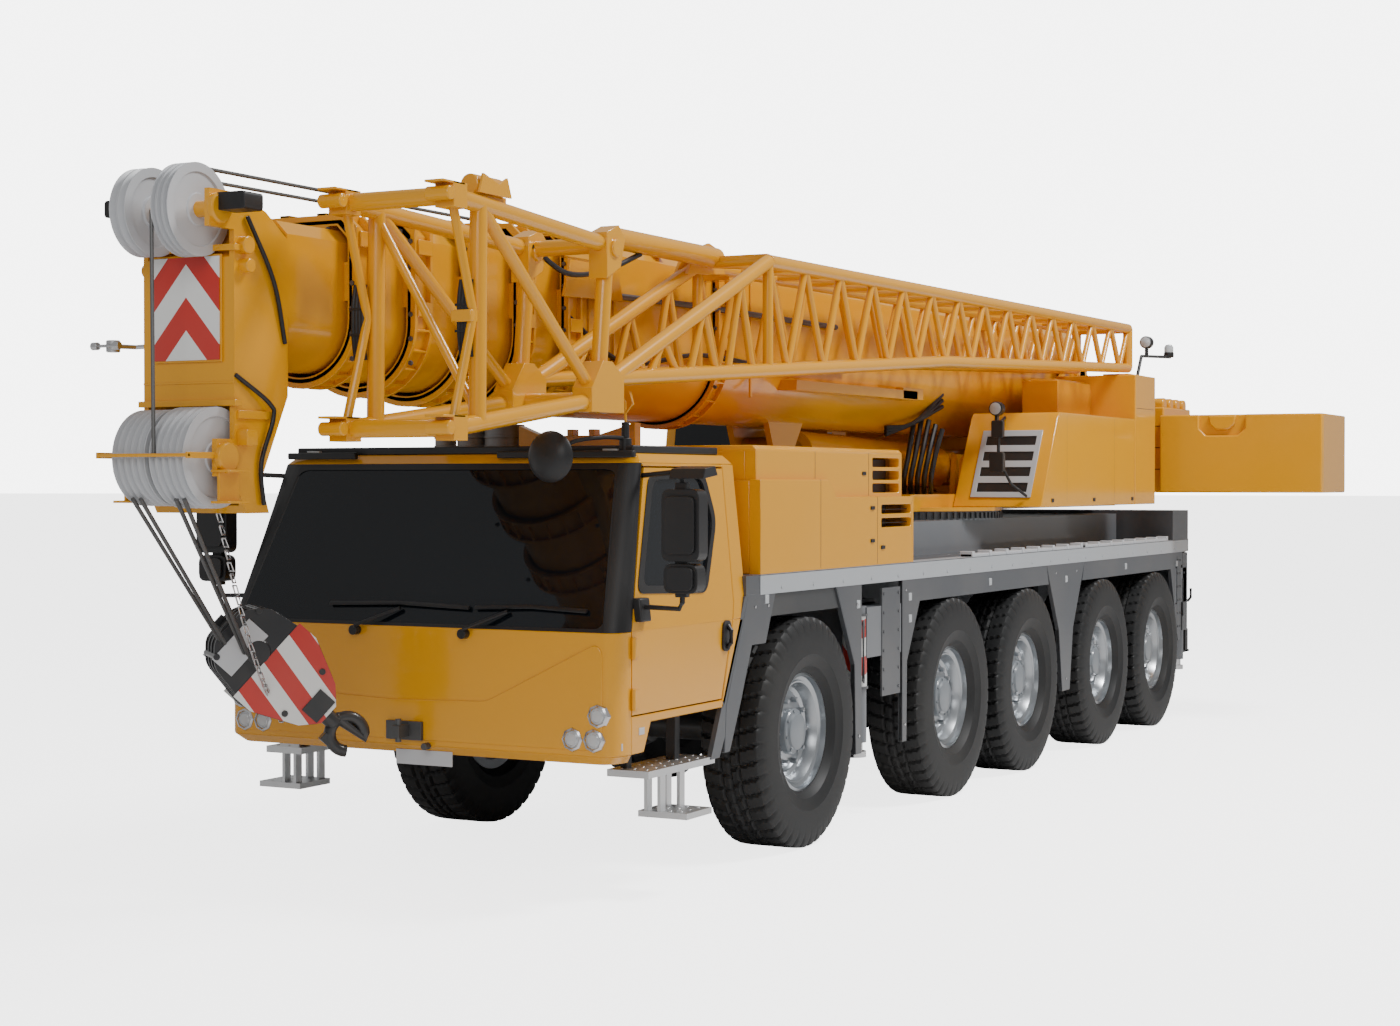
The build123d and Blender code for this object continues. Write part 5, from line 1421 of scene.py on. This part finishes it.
    def pulleys(self) -> None:
        """Grooved pulleys of the head's upper and lower stacks, and the ropes over them."""
        stacks = [
            ((-4.40, 3.62, 0.225), (0.065, 0.17), 3),
            ((-4.35, 2.43, 0.245), (0.025, 0.235), 5),
            ((-4.35, 2.43, 0.235), (-0.215, -0.01), 5),
            ((-4.40, 3.62, 0.215), (-0.20, -0.10), 2),
        ]
        pulleys = []
        for (y, z, r), (x0, x1), count in stacks:
            pitch = (x1 - x0) / count
            for index in range(count):
                half = pitch / 2 - 0.001
                web = 0.25 * pitch
                middle = x0 + (index + 0.5) * pitch
                near = [(0.04, half), (0.075, half), (0.08, web), (r - 0.05, web), (r - 0.045, half),
                        (r, half), (r, half - 0.004), (r - 0.028, 0.004)]
                outline = [(reach, -off) for reach, off in near] + near[::-1]
                pulleys.append(spun(outline, (middle, y, z), 0, 56))
        self.shop.piece("head_pulleys", pulleys, SHEAVE, "head_sheaves", 0, ("head_sheaves",))
        ropes = [rod((0.06, self.guard + 0.01, 2.43), (0.06, self.guard, 3.60), 0.010, 8),
                 rod((0.117, -4.35, 3.832), (0.117, -1.5, 3.832), 0.010, 8),
                 rod((-0.14, -4.3, 3.825), (-0.14, -1.5, 3.83), 0.010, 8)]
        self.shop.piece("head_ropes", ropes, ROPE, HEAD, 0)

    def build(self) -> None:
        """Build the boom's dressing."""
        self.collars()
        self.base()
        self.head()
        self.head_fittings()
        self.pulleys()


@dataclass
class LatticeJib:
    """Folding lattice jib stowed along the boom: foot frame, junction and long lattice."""

    shop: Workshop
    inner: float = 0.65
    outer: float = 1.15
    foot_x: tuple = (0.545, 1.18)
    foot_y: float = -3.75
    foot_z: tuple = (3.70, 2.575)
    joint_top: tuple = (-2.20, 3.61)
    joint_low: tuple = (-2.30, 2.76)
    upper: tuple = ((-0.17, 3.70), (7.60, 3.76))
    lower: tuple = ((-2.14, 2.885), (2.88, 3.22), (7.60, 3.39))
    bays: int = 14
    chord: float = 0.045
    brace: float = 0.024

    def height(self, points: tuple, y: float) -> float:
        """Height of a chord at one place."""
        line = np.array(points)
        return float(np.interp(y, line[:, 0], line[:, 1]))

    def on_chord(self, points: tuple, x: float, y: float) -> tuple:
        """Point on a chord at one place."""
        return x, y, self.height(points, y)

    def crossing(self, points: tuple, start: float, end: float, radius: float) -> Part:
        """Bar from the inner frame's chord to the outer frame's."""
        return rod(self.on_chord(points, self.inner, start), self.on_chord(points, self.outer, end), radius)

    def foot_bars(self) -> list:
        """Bars of the foot frame and of the junction behind it.

        Returns:
            One part for each bar.
        """
        bars = []
        top, low = self.foot_z
        for foot, x in zip(self.foot_x, (self.inner, self.outer)):
            a, b = np.array((foot, self.foot_y, top)), np.array((foot, self.foot_y, low))
            joint, knee = np.array((x, *self.joint_top)), np.array((x, *self.joint_low))
            post_a, post_b = a + (joint - a) * 0.16, b + (knee - b) * 0.16
            bow = (foot, self.foot_y + 0.19, (top + low) / 2)
            bars += [rod(a, joint, self.chord, 16), rod(b, knee, self.chord, 16),
                     rod(post_a, post_b, self.chord, 16), tube([a, bow, b], self.brace),
                     rod(joint, knee, self.chord, 16), rod(post_a, knee, self.chord * 0.75),
                     rod(knee, (x, *self.lower[0]), self.chord, 16)]
        for level in self.foot_z:
            bars.append(rod((self.foot_x[0], self.foot_y, level), (self.foot_x[1], self.foot_y, level),
                            self.chord, 16))
        for joint in (self.joint_top, self.joint_low):
            bars.append(rod((self.inner, *joint), (self.outer, *joint), self.chord, 16))
        slant_y = self.foot_y + 0.25
        bars.append(rod((self.foot_x[0], slant_y, top - 0.02), (self.foot_x[1], slant_y, low + 0.05),
                        self.brace))
        return bars

    def lattice_bars(self) -> list:
        """Bars of the long lattice.

        Returns:
            One part for each bar.
        """
        bars = []
        pitch = (self.upper[1][0] - self.upper[0][0]) / self.bays
        for x in (self.inner, self.outer):
            for points in (self.upper, self.lower):
                bars.append(tube([(x, *corner) for corner in points], self.chord, 16))
            start, corner = np.array((x, *self.lower[0])), np.array((x, *self.upper[0]))
            bars += [rod(start, corner, self.chord, 16),
                     rod(corner, self.on_chord(self.lower, x, corner[1]), self.brace * 1.4)]
            for share in (0.3, 0.55, 0.8):
                high = start + (corner - start) * share
                bars += [rod(high, self.on_chord(self.lower, x, high[1] + step), self.brace)
                         for step in (-0.17, 0.17)]
            bars.append(rod((x, *self.upper[1]), (x, *self.lower[2]), self.chord, 16))
            for bay in range(self.bays):
                y = self.upper[0][0] + (bay + 0.5) * pitch
                low = self.on_chord(self.lower, x, y)
                bars += [rod(self.on_chord(self.upper, x, y + step), low, self.brace)
                         for step in (-pitch / 2, pitch / 2)]
        for bay in range(self.bays):
            y = self.upper[0][0] + bay * pitch
            bars += [self.crossing(self.upper, y, y, 0.020), self.crossing(self.upper, y, y + pitch, 0.018),
                     self.crossing(self.lower, y + pitch / 2, y + pitch / 2, 0.020)]
        bars.append(rod((self.inner, *self.upper[1]), (self.outer, *self.upper[1]), self.chord, 16))
        return bars

    def frame(self) -> None:
        """Jib frame with its corner blocks, brackets, strut and winch."""
        parts = self.foot_bars() + self.lattice_bars()
        for x in self.foot_x:
            for z in self.foot_z:
                parts += [slab((x - 0.055, x + 0.055), (self.foot_y - 0.06, self.foot_y + 0.06),
                               (z - 0.062, z + 0.062)),
                          slab((x - 0.055, x + 0.055), (self.foot_y - 0.15, self.foot_y + 0.04),
                               (z + 0.05, z + 0.062)),
                          disc((x, self.foot_y - 0.10, z), 0, 0.035, -0.07, 0.07)]
        y, z = self.joint_low
        box = [(y - 0.16, z - 0.07), (y + 0.19, z - 0.07), (y + 0.19, z + 0.13), (y + 0.06, z + 0.21),
               (y - 0.04, z + 0.21), (y - 0.16, z + 0.06)]
        y, z = self.joint_top
        joint = [(y - 0.09, z - 0.19), (y + 0.06, z - 0.12), (y + 0.11, z + 0.04), (y + 0.04, z + 0.11),
                 (y - 0.09, z + 0.06)]
        for x in (self.inner, self.outer):
            parts += [prism(box, 0, x - 0.062, x + 0.062), prism(joint, 0, x - 0.058, x + 0.058),
                      disc((x, y, z - 0.02), 0, 0.05, -0.075, 0.075)]
        parts += [disc((0.75, -0.77, 3.745), 1, 0.065, -0.67, 0.67),
                  slab((self.inner - 0.02, self.outer), (-0.18, -0.14), (3.69, 3.75)),
                  slab((self.inner - 0.02, 0.78), (-1.50, -1.38), (3.64, 3.70)),
                  slab((self.inner - 0.02, 0.70), (-2.24, -1.38), (3.60, 3.66)),
                  slab((1.09, 1.17), (-3.54, -3.24), (3.70, 3.745)),
                  disc((1.13, -3.39, 3.785), 1, 0.055, -0.13, 0.13),
                  prism([(-3.54, 3.74), (-3.24, 3.74), (-3.28, 3.84), (-3.36, 3.80), (-3.5, 3.84)], 0, 1.19,
                        1.205)]
        parts += [slab((0.44, 0.67), (y - 0.06, y + 0.06), (3.64, 3.74)) for y in (0.3, 5.6)]
        parts += [prism([(-0.42, 3.62), (0.10, 3.66), (0.02, 3.81), (-0.12, 3.842), (-0.30, 3.79)], 0,
                        x - 0.012, x + 0.012) for x in (0.62, 0.70)]
        parts += [prism([(-1.60, 3.40), (-0.9, 3.42), (-1.0, 3.72), (-1.3, 3.78), (-1.5, 3.70)], 0, 0.50,
                        0.52)]
        self.shop.piece("jib_frame", parts, YELLOW, "lattice_jib", 0.003, ("lattice_jib",))

    def hoses(self) -> None:
        """Hose bundles on the foot frame, with their clips and strap."""
        bundles = []
        for x in (0.47, 1.11):
            for place in x + 0.02 * np.arange(4):
                bundles.append(hose([(place, y, z)
                                     for y, z in ((-3.56, 3.31), (-3.58, 3.2), (-3.58, 3.05),
                                                  (-3.56, 2.93))], 0.011))
            bundles += [slab((x - 0.018, x + 0.078), (-3.592, -3.568), (z, z + 0.012)) for z in (3.18, 3.05)]
        bundles.append(hose([(0.70, -2.25, 3.62), (0.72, -1.9, 3.5), (0.74, -1.5, 3.55),
                             (0.75, -1.1, 3.68)], 0.016))
        self.shop.piece("jib_hose_bundles", bundles, TRIM, "lattice_jib", 0)
        strap = [slab((1.08, 1.20), (-3.61, -3.53), (3.10, 3.16))]
        self.shop.piece("jib_hose_strap", strap, YELLOW, "lattice_jib", 0.006)

    def build(self) -> None:
        """Build the jib."""
        self.frame()
        self.hoses()


@dataclass
class HookBlock:
    """Hook block held aslant before the cab, with its rope falls, chain and striped cheeks."""

    shop: Workshop
    top: tuple = (-0.50, -3.18, 1.40)
    low: tuple = (-0.13, -2.76, 0.88)
    sheave_r: float = 0.228
    rope_from: tuple = (-4.50, 2.23)
    node: str = "hook_block"

    def placed(self, parts: list) -> list:
        """Parts drawn in the block's own axes, put in place.

        Args:
            parts: X runs towards the hook, Z across the cheeks.

        Returns:
            The parts in place.
        """
        along = np.array(self.low) - np.array(self.top)
        along /= np.linalg.norm(along)
        across = np.cross(along, (0, 0, 1))
        across /= np.linalg.norm(across)
        third = np.cross(across, along)
        frame = np.stack([along, third, across])
        return [(np.asarray(points) @ frame + np.array(self.top), faces) for points, faces in parts]

    def cheeks(self) -> None:
        """Black cheek plates with their pins, weights and the hook."""
        plate = rounded([(-0.215, -0.11), (-0.12, -0.215), (0.18, -0.265), (0.43, -0.15), (0.52, -0.06),
                         (0.52, 0.06), (0.43, 0.15), (0.18, 0.265), (-0.12, 0.215), (-0.215, 0.11)], 0.04)
        dark = [prism(plate, 2, z, z + 0.018) for z in (-0.165, -0.06, 0.042, 0.147)]
        for x, y in ((-0.15, 0.165), (-0.15, -0.165), (0.33, 0.15), (0.33, -0.15)):
            dark.append(disc((x, y, 0), 2, 0.018, -0.178, 0.178, 16))
        dark += [disc((0, 0, 0), 2, 0.07, -0.172, 0.172),
                 slab((0.385, 0.495), (-0.075, 0.075), (-0.178, 0.178)),
                 disc((0.545, 0, 0), 0, 0.046, -0.075, 0.075),
                 slab((-0.26, -0.16), (-0.03, 0.03), (-0.012, 0.012))]
        angle = np.linspace(math.radians(150), math.radians(-130), 22)
        line = np.stack([0.70 - 0.095 * np.cos(angle), 0.095 * np.sin(angle), 0 * angle], 1)
        dark.append(tube(np.concatenate([[(0.58, 0.0, 0.0)], [(0.60, 0.03, 0)], line]), 0.034, 14))
        dark.append(slab((0.60, 0.68), (-0.12, -0.07), (-0.03, 0.03)))
        self.shop.piece("hook_block_cheeks", self.placed(dark), HOOK_BLACK, self.node, 0.004,
                        ("hook_block",))

    def sheaves_and_faces(self) -> None:
        """Grooved sheaves between the cheeks, their stripes and the bare plate."""
        groove = self.sheave_r - 0.026
        near = [(0.05, 0.03), (self.sheave_r, 0.03), (self.sheave_r, 0.022), (groove, 0.006)]
        outline = [(reach, -off) for reach, off in near] + near[::-1]
        wheels = [spun(outline, (0, 0, z), 2, 48) for z in (-0.1035, 0.0, 0.1035)]
        self.shop.piece("hook_block_sheaves", self.placed(wheels), FRAME, self.node, 0)
        low_plate = [(0.06, -0.262), (0.18, -0.262), (0.43, -0.148), (0.515, -0.06), (0.515, 0.06),
                     (0.43, 0.148), (0.18, 0.262), (0.06, 0.262)]
        faces = [prism(low_plate, 2, z, z + 0.005) for z in (-0.1705, 0.1652)]
        self.shop.piece("hook_block_stripes", self.placed(faces), HOOK_STRIPES, self.node, 0)
        sign = [slab((-0.16, -0.02), (-0.19, 0.10), (z, z + 0.006)) for z in (-0.1712, 0.1652)]
        self.shop.piece("bare_hook_plate", self.placed(sign), SHEAVE, self.node, 0.002)

    def rigging(self) -> None:
        """Taut rope falls from the head, and the tie chain with its slight sag."""
        ropes = []
        for x in (-0.16, -0.11, 0.11, 0.16):
            foot = (self.top[0] + x * 0.4, self.top[1] - 0.10, self.top[2] - 0.05)
            ropes.append(rod((x, *self.rope_from), foot, 0.011, 8))
        self.shop.piece("hoist_rope_falls", ropes, ROPE, self.node, 0)
        start = np.array((-0.02, -4.05, 2.20))
        run = np.array((-0.42, -3.05, 1.02)) - start
        half = run / np.linalg.norm(run) * 0.03
        links = []
        for index, share in enumerate(np.linspace(0, 1, 26)):
            at = start + run * share
            at[2] -= 0.14 * math.sin(math.pi * share)
            wide = np.array((0.012, 0, 0) if index % 2 else (0, 0.012, 0))
            links.append(tube([at - half - wide, at - half + wide, at + half + wide, at + half - wide,
                               at - half - wide], 0.005, 6))
        self.shop.piece("hook_tie_chain", links, STEEL, self.node, 0)

    def build(self) -> None:
        """Build the block."""
        self.cheeks()
        self.sheaves_and_faces()
        self.rigging()


@dataclass
class Studio:
    """Pale floor, soft lights and the camera."""

    reach: float = 400.0
    sky: float = 0.42               # strength of the sky as a light
    backdrop: float = 6.0           # strength of the sky as it is seen
    glow: float = 3.2               # strength of the floor as it is seen

    def floor(self) -> None:
        """Make the floor."""
        bpy.ops.mesh.primitive_plane_add(size=self.reach * 2, location=(0, 0, 0))
        floor = bpy.context.object
        floor.name = "studio_floor"
        paint = bpy.data.materials.new("studio_floor_white")
        paint.use_nodes = True
        shader = paint.node_tree.nodes["Principled BSDF"]
        shader.inputs["Base Color"].default_value = (0.9, 0.9, 0.9, 1)
        shader.inputs["Roughness"].default_value = 0.55
        nodes = Nodes(paint.node_tree)
        seen = nodes.add("ShaderNodeLightPath").outputs["Is Camera Ray"]
        glow = nodes.add("ShaderNodeMath", {0: seen, 1: self.glow}, operation="MULTIPLY")
        shader.inputs["Emission Color"].default_value = (1, 1, 1, 1)
        paint.node_tree.links.new(glow.outputs[0], shader.inputs["Emission Strength"])
        floor.data.materials.append(paint)
        floor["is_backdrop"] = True

    def world(self) -> None:
        """Make the sky."""
        world = bpy.data.worlds.new("studio_sky")
        bpy.context.scene.world = world
        world.use_nodes = True
        back = world.node_tree.nodes["Background"]
        back.inputs["Color"].default_value = (1, 1, 1, 1)
        nodes = Nodes(world.node_tree)
        seen = nodes.add("ShaderNodeLightPath").outputs["Is Camera Ray"]
        level = nodes.add("ShaderNodeMapRange", {"Value": seen, "To Min": self.sky, "To Max": self.backdrop})
        world.node_tree.links.new(level.outputs["Result"], back.inputs["Strength"])

    def lights(self) -> None:
        """Make the two soft lights, each aimed at the crane's middle."""
        for name, place, size, power in (("key", (9, 2, 15), 4.0, 2600.0),
                                         ("front_fill", (5, -16, 8), 6.0, 420.0)):
            lamp = bpy.data.lights.new(name, "AREA")
            lamp.size = size
            lamp.energy = power
            made = bpy.data.objects.new(name, lamp)
            bpy.context.scene.collection.objects.link(made)
            made.location = place
            aim = -np.array(place, float) + (0, 0, 1)
            made.rotation_euler = Vector(aim).to_track_quat("-Z", "Y").to_euler()

    def camera(self) -> None:
        """Make the camera and choose it."""
        lens = bpy.data.cameras.new("studio_camera")
        lens.lens = LENS
        lens.sensor_width = 36.0
        lens.clip_end = 500.0
        camera = bpy.data.objects.new("studio_camera", lens)
        bpy.context.scene.collection.objects.link(camera)
        camera.location = CAMERA_PLACE
        camera.rotation_euler = (math.radians(90 - CAMERA_DIP), 0, math.radians(CAMERA_YAW))
        bpy.context.scene.camera = camera

    def build(self) -> None:
        """Make the studio."""
        self.floor()
        self.world()
        self.lights()
        self.camera()


def corners() -> list:
    """Lowest and highest corner of what is shown, as plain lists."""
    return [list(corner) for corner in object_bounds()]


def main() -> None:
    """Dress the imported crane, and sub-assembly by sub-assembly."""
    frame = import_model()
    Studio().build()
    shop = Workshop(frame)
    for kind in (PackedSolids, RoadWheels, DriverCab, Hood, CarrierSides, Superstructure, Boom, LatticeJib,
                 HookBlock):
        kind(shop).build()
        LOG.info("built %s", kind.__name__)


if __name__ == "__main__":
    logging.basicConfig(level=logging.INFO)
    main()
